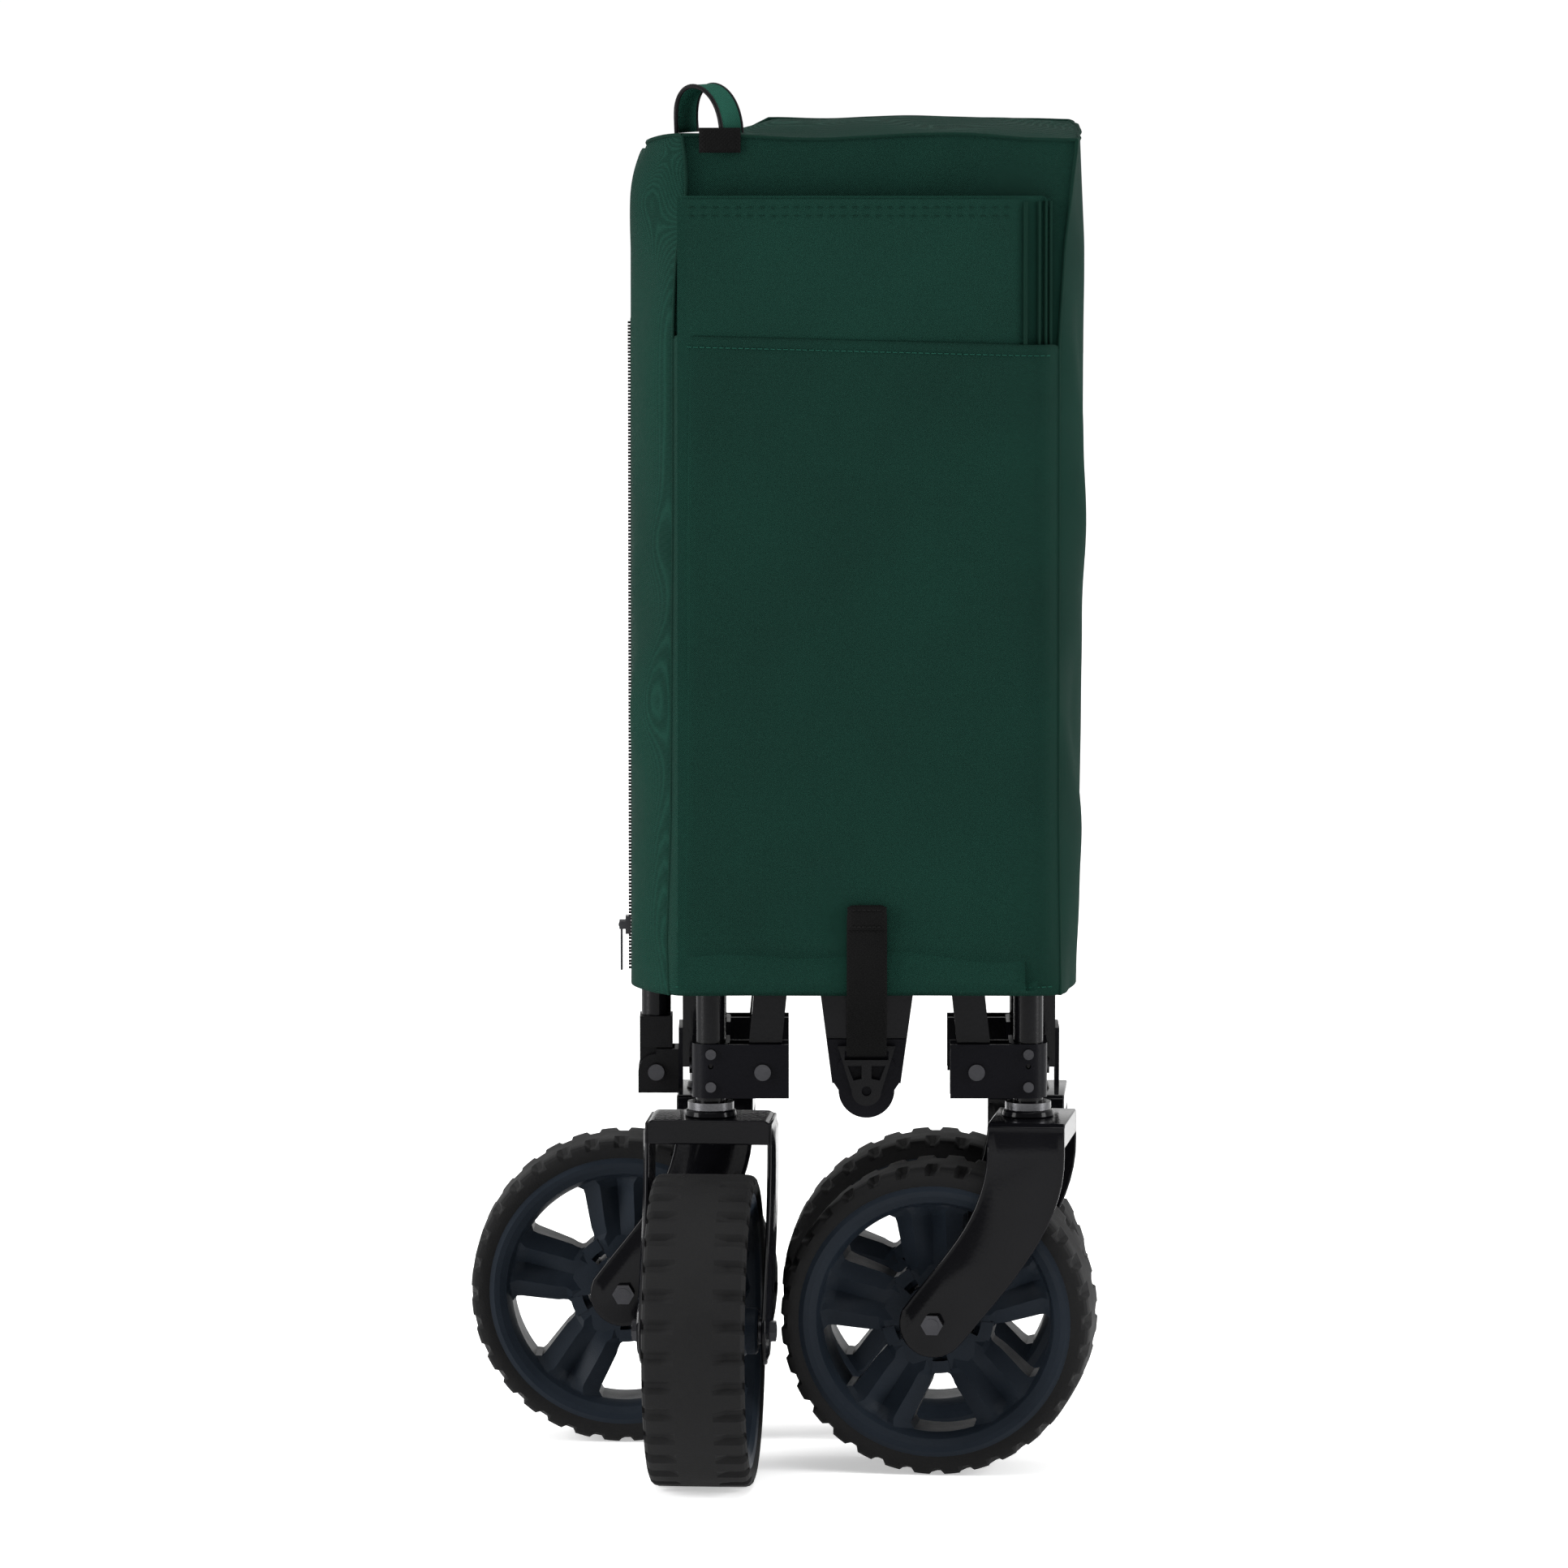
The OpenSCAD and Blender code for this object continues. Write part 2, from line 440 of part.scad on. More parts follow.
module handle_inner_tube() color([0.45, 0.46, 0.48]) translate([handle_x, 0, tube_z0 + 2]) difference() {
    cylinder(r = handle_d/2 - 1.55, h = grip_z0 - tube_z0 + 4);
    translate([0, 0, -1]) cylinder(r = handle_d/2 - 3, h = grip_z0 - tube_z0 + 10);
}
// D-shaped grip with a finger gap, on a round collar
module grip_outline(w, h, r) {
    translate([-w/2 + r, 0]) square([w - 2*r, h]);
    translate([-w/2, r]) square([w, h - 2*r]);
    for (x = [-w/2 + r, w/2 - r], z = [r, h - r]) translate([x, z]) circle(r = r);
}
module handle_grip() color([0.05, 0.05, 0.055]) difference() {
    union() {
        translate([handle_x - grip_t/2, 0, grip_z0]) rotate([90, 0, 90]) linear_extrude(grip_t) difference() {
            grip_outline(grip_w, grip_h, 14);
            translate([0, 22]) grip_outline(grip_w - 26, grip_h - 36, 8);
        }
        translate([handle_x, 0, grip_z0 - 8]) cylinder(r = grip_t/2, h = 10);
    }
    translate([handle_x, 0, grip_z0 - 9]) cylinder(r = handle_d/2 - 1.55, h = 15);
    translate([handle_x - 20, -7, grip_z0 + 12]) cube([40, 14, 7]);
}
module handle_button() color([0.3, 0.3, 0.32]) translate([handle_x - grip_t/2 - 1, -6.5, grip_z0 + 12.5]) cube([grip_t - 2.5, 13, 6]);

// ---- storage cover ----
left_pts = [[-119, -97], [-132, -84], [-141, -62], [-144.5, -32], [-144.5, 32], [-141, 62], [-132, 84], [-119, 97]];
right_pts = [[115, 97], [122, 84], [127, 60], [129, 0], [127, -60], [122, -84], [115, -97]];
function inner(pts, dx) = [for (p = pts) [p[0] + dx, p[1]*(97 - cloth)/97]];
module panel(pts, dx) translate([0, 0, cover_z0]) linear_extrude(cover_z1 - cloth - cover_z0) polygon(concat(pts, flip(inner(pts, dx))));
module flat_panel(s) translate([0, 0, cover_z0]) linear_extrude(cover_z1 - cloth - cover_z0)
    polygon([[-119, s*97], [115, s*97], [115 - cloth, s*(97 - cloth)], [-119 + cloth, s*(97 - cloth)]]);
module cover_front() color([0.09, 0.21, 0.17]) flat_panel(-1);
module cover_back() color([0.09, 0.21, 0.17]) flat_panel(1);
module cover_left() color([0.09, 0.21, 0.17]) panel(left_pts, cloth);
module cover_right() color([0.09, 0.21, 0.17]) panel(right_pts, -cloth);
module cover_top() color([0.1, 0.24, 0.19]) translate([0, 0, cover_z1 - cloth]) linear_extrude(cloth) polygon(concat(left_pts, right_pts));
module cover_pocket() color([0.09, 0.21, 0.17]) difference() {
    translate([-118, -113, cover_z0 + 2]) cube([232, 16, pocket_z1 - cover_z0 - 2]);
    translate([-116.6, -111.6, cover_z0 + 3.5]) cube([229.2, 15, 500]);
}
// the detached sun canopy, folded flat in the pocket
module folded_canopy() color([0.09, 0.22, 0.18]) {
    for (i = [0:3]) translate([-115.5, -111 + i*3.3, cover_z0 + 7]) cube([[210, 218, 222, 226][i], 2.8, canopy_z1 - cover_z0 - 7 - [0, 1.5, 0, 3][i]]);
    translate([-115.5, -111, cover_z0 + 5]) cube([210, 12.7, 2]);
}
zip_x = -144.5;
module zip_tape() color([0.03, 0.03, 0.03]) translate([zip_x - 1, -11, cover_z0 + 4]) cube([1, 22, 400]);
slider_z = 322;
module zip_slider() color([0.08, 0.08, 0.085]) translate([0, 0, slider_z]) {
    translate([zip_x - 4.6, -4.5, 0]) cube([3.2, 9, 11]);
    for (s = [-1, 1]) translate([zip_x - 8.4, s*3.6 - 0.7, 3]) cube([4, 1.4, 5]);
    translate([zip_x - 7, 0, 5.5]) ycyl(0.8, -3.6, 3.6);
}
module zip_pull() color([0.08, 0.08, 0.085]) translate([zip_x - 7, 0, slider_z + 5.5]) difference() {
    union() {
        ycyl(1.9, -2.5, 2.5);
        translate([-0.7, -2.5, -28]) cube([1.4, 5, 27]);
    }
    ycyl(0.86, -3, 3);
}
module loop_band(rx, rz, w) linear_extrude(w) polygon(concat(
    [for (a = [0:10:180]) [rx*cos(a), rz*sin(a)]], [for (a = [180:-10:0]) [(rx - 2)*cos(a), (rz - 2)*sin(a)]]));
module carry_loop() color([0.12, 0.27, 0.22]) translate([-97, -70, cover_z1]) rotate([90, 0, 0]) loop_band(18, 29, 25);
module loop_patch() color([0.03, 0.03, 0.03]) translate([-103, -98.2, cover_z1 - 12]) cube([25, 1.2, 15]);

corner_posts();
bracket_near_left();
bracket_near_right();
bracket_far_left();
bracket_far_right();
bracket_bolts();
scissor_rivets();
caster_sockets();
scissor_near_inner();
scissor_near_outer();
scissor_far_inner();
scissor_far_outer();
scissor_front_inner();
scissor_front_outer();
scissor_rear_inner();
scissor_rear_outer();
lower_hub_near();
lower_hub_far();
lower_hub_front();
lower_hub_rear();
upper_fittings();
folded_tub();
strap_clip();
hook_strap();
fork_near_left();
fork_near_right();
fork_far_left();
fork_far_right();
bolts_near_left();
bolts_near_right();
bolts_far_left();
bolts_far_right();
rim_near_left();
rim_near_right();
rim_far_left();
rim_far_right();
tyre_near_left();
tyre_near_right();
tyre_far_left();
tyre_far_right();
handle_yoke();
handle_pivot_bolt();
handle_socket();
handle_outer_tube();
handle_inner_tube();
handle_grip();
handle_button();
cover_front();
cover_back();
cover_left();
cover_right();
cover_top();
cover_pocket();
folded_canopy();
zip_tape();
zip_slider();
zip_pull();
carry_loop();
loop_patch();
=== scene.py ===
import json
import math

import bmesh
import bpy
from mathutils import Matrix, Vector, noise


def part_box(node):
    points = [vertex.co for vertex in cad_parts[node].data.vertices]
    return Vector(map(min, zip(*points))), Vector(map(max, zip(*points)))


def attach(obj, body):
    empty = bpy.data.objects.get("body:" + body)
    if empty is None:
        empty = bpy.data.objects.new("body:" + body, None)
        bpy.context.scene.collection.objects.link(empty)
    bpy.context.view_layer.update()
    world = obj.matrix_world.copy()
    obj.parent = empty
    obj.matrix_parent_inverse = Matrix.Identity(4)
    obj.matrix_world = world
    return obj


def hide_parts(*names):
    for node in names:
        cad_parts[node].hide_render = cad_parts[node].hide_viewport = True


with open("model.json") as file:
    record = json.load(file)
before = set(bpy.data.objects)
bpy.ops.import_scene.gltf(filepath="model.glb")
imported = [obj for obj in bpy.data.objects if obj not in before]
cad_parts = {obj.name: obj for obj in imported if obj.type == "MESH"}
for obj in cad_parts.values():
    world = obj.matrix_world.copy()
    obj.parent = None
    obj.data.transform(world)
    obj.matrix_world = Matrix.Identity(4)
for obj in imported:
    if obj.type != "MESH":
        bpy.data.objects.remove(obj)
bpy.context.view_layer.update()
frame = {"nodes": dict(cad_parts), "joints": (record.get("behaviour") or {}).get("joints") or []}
nodes = frame["nodes"]

# ---- Camera, floor and light ----
# A long lens a little left of the wagon and above it, looking slightly down. The walls are
# white behind the wagon and dim behind the camera, with soft light from both sides and above.
CAMERA_AT = (-0.052, -6.85, 1.1944)
LOOK_DOWN = 6.5
camera_data = bpy.data.cameras.new("camera")
camera_data.lens = 258.6
camera_data.sensor_width = 36.0
camera = bpy.data.objects.new("camera", camera_data)
camera.location = CAMERA_AT
camera.rotation_euler = (math.radians(90.0 - LOOK_DOWN), 0.0, 0.0)
bpy.context.scene.collection.objects.link(camera)
bpy.context.scene.camera = camera

world = bpy.data.worlds.new("studio")
bpy.context.scene.world = world
world.use_nodes = True
sky = world.node_tree.nodes["Background"]
sky.inputs["Color"].default_value = (1.0, 1.0, 1.0, 1.0)
facing = world.node_tree.nodes.new("ShaderNodeTexCoord")
facing_axes = world.node_tree.nodes.new("ShaderNodeSeparateXYZ")
dimmer = world.node_tree.nodes.new("ShaderNodeMapRange")
for socket, value in (("From Min", -0.75), ("From Max", 0.05), ("To Min", 0.30), ("To Max", 1.02)):
    dimmer.inputs[socket].default_value = value
world.node_tree.links.new(facing.outputs["Generated"], facing_axes.inputs[0])
world.node_tree.links.new(facing_axes.outputs["Y"], dimmer.inputs["Value"])
world.node_tree.links.new(dimmer.outputs[0], sky.inputs["Strength"])
bpy.context.scene.view_settings.view_transform = "Standard"


def softbox(name, at, aim, size, power):
    light = bpy.data.lights.new(name, "AREA")
    light.shape = "RECTANGLE"
    light.size, light.size_y = size
    light.energy = power
    lamp = bpy.data.objects.new(name, light)
    lamp.location = at
    lamp.rotation_euler = (Vector(aim) - Vector(at)).to_track_quat("-Z", "Y").to_euler()
    bpy.context.scene.collection.objects.link(lamp)


softbox("left_softbox", (-2.6, -0.9, 1.1), (0.0, 0.0, 0.5), (1.2, 2.2), 95.0)
softbox("right_softbox", (2.6, -0.7, 1.0), (0.0, 0.0, 0.5), (1.0, 2.0), 75.0)
softbox("top_softbox", (0.0, -0.6, 3.0), (0.0, 0.0, 0.6), (2.0, 2.0), 52.0)

# ---- Folded frame tubes ----
# Round corner posts and flat oval side tubes, drawn steel with a gloss black powder coat. The
# first piece needs the small tools for making a finish: a wire from one node to the next that
# can be added to and multiplied, and a start and an end for each finish.
class Wire:
    def __init__(self, socket):
        self.socket = socket

    def node(self, kind, settings=None, out=0, **sockets):
        made = self.socket.id_data.nodes.new(kind)
        for key, value in (settings or {}).items():
            setattr(made, key, value)
        for key, value in sockets.items():
            numbered = key[0] == "i" and key[1:].isdigit()
            place = made.inputs[int(key[1:]) if numbered else key]
            if isinstance(value, Wire):
                self.socket.id_data.links.new(value.socket, place)
            else:
                place.default_value = value
        return Wire(made.outputs[out])

    def math(self, operation, other=0.0):
        return self.node("ShaderNodeMath", {"operation": operation}, i0=self, i1=other)

    def __add__(self, other):
        return self.math("ADD", other)

    def __mul__(self, other):
        return self.math("MULTIPLY", other)

    def noise(self, scale, detail=3.0, rough=0.5):
        return self.node("ShaderNodeTexNoise", None, 0, Vector=self, Scale=scale, Detail=detail,
                         Roughness=rough)

    def shade(self, dark, light):
        return self.node("ShaderNodeMix", {"data_type": "RGBA"}, 2, i0=self, i6=(*dark, 1.0),
                         i7=(*light, 1.0))

    def span(self, low, high, to_low=0.0, to_high=1.0):
        return self.node("ShaderNodeMapRange", None, 0, i0=self, i1=low, i2=high, i3=to_low, i4=to_high)

    def axes(self):
        split = self.node("ShaderNodeSeparateXYZ", None, 0, Vector=self)
        return [Wire(out) for out in split.socket.node.outputs]


def start_finish(name, metallic=0.0, coat=0.0, specular=0.5):
    finish = bpy.data.materials.new(name)
    finish.use_nodes = True
    shader = finish.node_tree.nodes["Principled BSDF"]
    shader.inputs["Metallic"].default_value = metallic
    shader.inputs["Coat Weight"].default_value = coat
    shader.inputs["Coat Roughness"].default_value = 0.08
    shader.inputs["Specular IOR Level"].default_value = specular
    coords = finish.node_tree.nodes.new("ShaderNodeTexCoord")
    return finish, Wire(coords.outputs["Object"])


def end_finish(finish, color, roughness, height=None, depth=0.001):
    links = finish.node_tree.links
    shader = finish.node_tree.nodes["Principled BSDF"]
    links.new(color.socket, shader.inputs["Base Color"])
    links.new(roughness.socket, shader.inputs["Roughness"])
    if height is not None:
        bump = height.node("ShaderNodeBump", None, 0, Strength=1.0, Distance=depth, Height=height)
        links.new(bump.socket, shader.inputs["Normal"])
    return finish


def painted(name, dark, light, rough, coat):
    # powder coat with a slight orange peel, worn a little uneven in its gloss
    finish, at = start_finish(name, coat=coat, specular=0.04)
    cloud = at.noise(22.0, 3.0)
    peel = at.noise(520.0, 2.0)
    return end_finish(finish, cloud.shade(dark, light), cloud.span(0.3, 0.7, *rough), peel, 0.00012)


def wear(finish, *pieces):
    for piece in pieces:
        piece.data.materials.clear()
        piece.data.materials.append(finish)


def wear_nodes(finish, *names):
    wear(finish, *[nodes[name] for name in names])


tube_paint = painted("gloss_black_tube", (0.0016, 0.0016, 0.002), (0.004, 0.004, 0.005), (0.10, 0.18), 0.10)
wear_nodes(tube_paint, "corner_posts", "scissor_near_inner", "scissor_near_outer", "scissor_far_inner",
           "scissor_far_outer", "scissor_front_inner", "scissor_front_outer", "scissor_rear_inner",
           "scissor_rear_outer", "handle_outer_tube")

# ---- Corner brackets and lower hubs ----
# Pressed steel channels round the feet of the posts, and the plates that join the tubes at the
# bottom of each side, in satin black.
bracket_paint = painted("satin_black_bracket", (0.002, 0.002, 0.003), (0.0045, 0.0045, 0.006),
                        (0.30, 0.42), 0.0)
wear_nodes(bracket_paint, "bracket_near_left", "bracket_near_right", "bracket_far_left", "bracket_far_right",
           "lower_hub_near", "lower_hub_far", "lower_hub_front", "lower_hub_rear")

# ---- Bolts, rivets and bearings ----
# Black zinc fasteners, and the bearing plugs of the casters pressed into the posts.
def plated(name, dark, light, rough):
    finish, at = start_finish(name, metallic=1.0)
    cloud = at.noise(60.0, 3.0)
    streak = at.noise(700.0, 2.0)
    gloss = (cloud + streak * 0.4).span(0.4, 1.0, *rough)
    return end_finish(finish, cloud.shade(dark, light), gloss, streak, 0.00005)


fastener = plated("black_zinc_fastener", (0.02, 0.02, 0.022), (0.06, 0.06, 0.065), (0.25, 0.4))
bearing_steel = plated("bearing_steel", (0.03, 0.03, 0.032), (0.10, 0.10, 0.105), (0.2, 0.35))
wear_nodes(fastener, "bracket_bolts", "scissor_rivets", "handle_pivot_bolt", "bolts_near_left",
           "bolts_near_right", "bolts_far_left", "bolts_far_right")
wear_nodes(bearing_steel, "caster_sockets")

# ---- Plastic fittings, clip and pull handle ----
# Injection-moulded black nylon for the sliders and hubs at the top, the strap clip, the yoke,
# the socket and the grip. The inner tube is brushed aluminium and the button is grey.
def moulded(name, dark, light, rough, grain=1400.0, depth=0.00012):
    # moulded plastic or rubber with a fine spark-eroded grain and faint dust
    finish, at = start_finish(name, specular=0.07)
    cloud = at.noise(30.0, 4.0, 0.6)
    fine = at.noise(grain, 2.0)
    tone = cloud * 0.8 + fine * 0.2
    return end_finish(finish, tone.shade(dark, light), cloud.span(0.3, 0.7, *rough), fine, depth)


black_plastic = moulded("black_plastic", (0.0028, 0.0028, 0.0032), (0.0065, 0.0065, 0.007), (0.40, 0.55))
grey_plastic = moulded("grey_plastic", (0.08, 0.08, 0.09), (0.12, 0.12, 0.13), (0.4, 0.55))
aluminium = plated("satin_aluminium", (0.55, 0.56, 0.58), (0.75, 0.76, 0.78), (0.25, 0.4))
wear_nodes(black_plastic, "upper_fittings", "strap_clip", "handle_yoke", "handle_socket", "handle_grip")
wear_nodes(grey_plastic, "handle_button")
wear_nodes(aluminium, "handle_inner_tube")

# ---- Casters: places ----
# Each caster stands at its post, turned to where it trails. The swivel and the axle of each
# give the turn that carries a piece made about the swivel to its own corner.
CORNERS = ("near_left", "near_right", "far_left", "far_right")
joint_at = {joint["name"]: Vector(joint["pos_m"]) for joint in frame["joints"] if "pos_m" in joint}
AXLE_HEIGHT = joint_at["spin_near_left"].z
TRAIL = (joint_at["spin_near_left"] - joint_at["swivel_near_left"]).xy.length
caster_place = {}
for corner in CORNERS:
    swivel, axle = joint_at["swivel_" + corner], joint_at["spin_" + corner]
    heading = math.atan2(swivel.y - axle.y, swivel.x - axle.x)
    caster_place[corner] = Matrix.Translation((swivel.x, swivel.y, 0.0)) @ Matrix.Rotation(heading, 4, "Z")


def keep(bm, name, finish, body, *replaced, smooth=35.0, place=None):
    # a finished mesh becomes a piece that rides on its body and stands for its solids
    if place is not None:
        bmesh.ops.transform(bm, matrix=place, verts=bm.verts)
    mesh = bpy.data.meshes.new(name)
    bm.to_mesh(mesh)
    bm.free()
    mesh.polygons.foreach_set("use_smooth", [True] * len(mesh.polygons))
    mesh.set_sharp_from_angle(angle=math.radians(smooth))
    piece = bpy.data.objects.new(name, mesh)
    bpy.context.scene.collection.objects.link(piece)
    wear(finish, piece)
    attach(piece, body)
    if replaced:
        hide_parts(*replaced)
    return piece


def close_up(bm, gap=1e-5):
    bmesh.ops.remove_doubles(bm, verts=bm.verts, dist=gap)
    bmesh.ops.recalc_face_normals(bm, faces=bm.faces)


def turned(bm, outline, steps=96):
    # a closed outline of (radius, along) in millimetres, turned about the axle
    ring = [bm.verts.new((r / 1000.0, y / 1000.0, 0.0)) for r, y in outline]
    edges = [bm.edges.new((ring[i], ring[(i + 1) % len(ring)])) for i in range(len(ring))]
    bmesh.ops.spin(bm, geom=ring + edges, cent=(0, 0, 0), axis=(0, 1, 0), dvec=(0, 0, 0),
                   angle=2.0 * math.pi, steps=steps, use_merge=True)


def both_sides(half):
    return half + [(r, -y) for r, y in reversed(half)]

# ---- Wheel rims ----
# A moulded blue-grey rim: a barrel under the tyre, a hub, and five broad spokes. Each spoke
# has a valley down its middle that widens outward and ends in a chiselled facet.
# The outlines are for a wheel of 100 mm radius and are scaled to this one.
rim_plastic = moulded("blue_grey_rim", (0.006, 0.0085, 0.0125), (0.012, 0.0165, 0.023), (0.38, 0.52))
WHEEL_SCALE = AXLE_HEIGHT / 0.1
SPOKES = 5
WINDOW_TURN = 58.0
WINDOW_TIP = 7.5
WINDOW_IN, WINDOW_CORNER = 43.0, 70.0


def window_half(r):
    # half the angle of the window between two spokes at radius r, in degrees
    if r <= WINDOW_IN - WINDOW_TIP:
        return 0.0
    if r <= WINDOW_IN:
        return math.degrees(math.atan2(math.sqrt(max(0.0, WINDOW_TIP ** 2 - (WINDOW_IN - r) ** 2)), r))
    if r <= WINDOW_CORNER:
        return math.degrees(math.asin((WINDOW_TIP + (r - WINDOW_IN) / 27.0 * 14.1) / r))
    return 18.0 - 2.5 * (r - WINDOW_CORNER) / 3.5


def spoke_height(u, r):
    t = (r - 34.0) / 40.0
    ridge = 14.0 + 8.5 * t
    side = abs(u)
    if side < 0.50:
        facet = 1.0 - max(0.0, t - 0.80) / 0.20 * 0.75
        return ridge - (2.0 + 9.0 * max(t, 0.0)) * facet * (1.0 - side / 0.50)
    return ridge - 5.0 * (side - 0.50) / 0.50


def rim_mesh():
    bm = bmesh.new()
    turned(bm, both_sides([(88.0, 29.0), (85.0, 29.6), (81.5, 28.6), (77.0, 26.0), (74.8, 22.0),
                           (73.6, 18.0)]))
    turned(bm, both_sides([(4.6, 33.0), (13.0, 33.0), (15.0, 31.5), (15.0, 26.0), (17.0, 24.0)]), 48)
    for i in range(SPOKES):
        middle = math.radians(WINDOW_TURN + (i + 0.5) * 360.0 / SPOKES)
        grid = bmesh.ops.create_grid(bm, x_segments=12, y_segments=16, size=1.0)["verts"]
        faces = list({f for v in grid for f in v.link_faces})
        spot = {v: (v.co.x, 25.0 + (v.co.y + 1.0) * 26.0) for v in grid}
        front = bmesh.ops.extrude_face_region(bm, geom=faces)["geom"]
        for v in [g for g in front if isinstance(g, bmesh.types.BMVert)]:
            spot[v] = (v.co.x, 25.0 + (v.co.y + 1.0) * 26.0)
            u, r = spot[v]
            v.co.z = spoke_height(u, r)
        for v in grid:
            v.co.z = -spoke_height(*spot[v])
        for v, (u, r) in spot.items():
            angle = middle + math.radians((180.0 / SPOKES - window_half(r)) * u)
            v.co = Vector((r * math.cos(angle), v.co.z, r * math.sin(angle))) / 1000.0
    # the hub's own ring carries five small slots in line with the windows
    slot_half, slot_in, slot_out = math.radians(10.0), 22.5, 28.5
    for i in range(SPOKES):
        start = math.radians(WINDOW_TURN + i * 360.0 / SPOKES)
        for a0, a1, r0, r1 in ((slot_half, 2.0 * math.pi / SPOKES - slot_half, 16.0, 34.5),
                               (-slot_half, slot_half, 16.0, slot_in),
                               (-slot_half, slot_half, slot_out, 36.5)):
            steps = 12 if a1 - a0 > 0.5 else 4
            outline = [(r0, 13.5), (r1, 12.5 if r1 > 30.0 else 13.5)]
            outline += [(r, -y) for r, y in reversed(outline)]
            loop = [bm.verts.new((r / 1000.0, y / 1000.0, 0.0)) for r, y in outline]
            bmesh.ops.rotate(bm, verts=loop, cent=(0, 0, 0), matrix=Matrix.Rotation(-(start + a0), 3, "Y"))
            face = bm.faces.new(loop)
            bmesh.ops.spin(bm, geom=[face], cent=(0, 0, 0), axis=(0, -1, 0), dvec=(0, 0, 0),
                           angle=a1 - a0, steps=steps)
    close_up(bm, 2e-6)
    return bm


caster_axle = {}
for corner in CORNERS:
    scaled = Matrix.Diagonal((WHEEL_SCALE, 1.0, WHEEL_SCALE, 1.0))
    caster_axle[corner] = caster_place[corner] @ Matrix.Translation((-TRAIL, 0.0, AXLE_HEIGHT)) @ scaled
    keep(rim_mesh(), "moulded_rim_" + corner, rim_plastic, "wheel_" + corner, "rim_" + corner,
         smooth=14.0, place=caster_axle[corner])

# ---- Tyres ----
# Black rubber, a plain band round the middle and a row of block lugs down each side, with
# rounded shoulders that give the wheel its scalloped edge.
rubber = moulded("tyre_rubber", (0.0045, 0.0045, 0.005), (0.012, 0.012, 0.012), (0.62, 0.8), 900.0, 0.0002)
LUGS = 32


def tyre_mesh():
    bm = bmesh.new()
    across = [(88.0, 29.0), (91.5, 30.6), (95.0, 31.0), (97.6, 30.2), (99.2, 28.6), (99.9, 26.0),
              (100.0, 19.0), (100.0, 11.6), (100.0, 10.6), (100.0, 4.0)]
    turned(bm, both_sides(across), LUGS * 6)
    close_up(bm)
    for v in bm.verts:
        r = math.hypot(v.co.x, v.co.z)
        turn = math.atan2(v.co.z, v.co.x) / (2.0 * math.pi) * LUGS
        width = abs(v.co.y) * 1000.0
        step = round((turn % 1.0) * 6.0) % 6
        if width > 11.0 and r > 0.0965 and step in (0, 1):
            dip = 0.0036 if width > 12.0 or r < 0.0999 else 0.0
            v.co.x *= (r - dip) / r
            v.co.z *= (r - dip) / r
    return bm


for corner in CORNERS:
    keep(tyre_mesh(), "treaded_tyre_" + corner, rubber, "wheel_" + corner, "tyre_" + corner,
         smooth=28.0, place=caster_axle[corner])

# ---- Caster forks ----
# Pressed steel in gloss black: two curved arms with a raised middle, joined by a crown with
# rounded corners, and the lower bearing collar on top of it.
fork_paint = painted("gloss_black_fork", (0.0016, 0.0016, 0.002), (0.004, 0.004, 0.005), (0.12, 0.2), 0.10)
CROWN_TOP, FORK_HALF = 0.218, 0.040
TRAIL_MM, ARM_TOP = TRAIL * 1000.0, (0.2165 - AXLE_HEIGHT) * 1000.0
ARM_END = 20.6


def bend(p0, p1, p2, p3, steps=14):
    return [tuple((1 - t) ** 3 * a + 3 * (1 - t) ** 2 * t * b + 3 * (1 - t) * t * t * c + t ** 3 * d
                  for a, b, c, d in zip(p0, p1, p2, p3)) for t in [i / steps for i in range(steps + 1)]]


def arm_outline():
    lead = bend((TRAIL_MM + 26, 105), (TRAIL_MM + 27, 62), (50, 28), (17, -12))
    back = bend((TRAIL_MM - 21, 105), (TRAIL_MM - 23, 62), (4, 40), (-18, 9.5))
    turn = [math.radians(d) for d in range(-45, -206, -10)]
    end = [(ARM_END * math.cos(a), ARM_END * math.sin(a)) for a in turn]
    return [(TRAIL_MM + 26, ARM_TOP)] + lead + end + back[::-1] + [(TRAIL_MM - 21, ARM_TOP)]


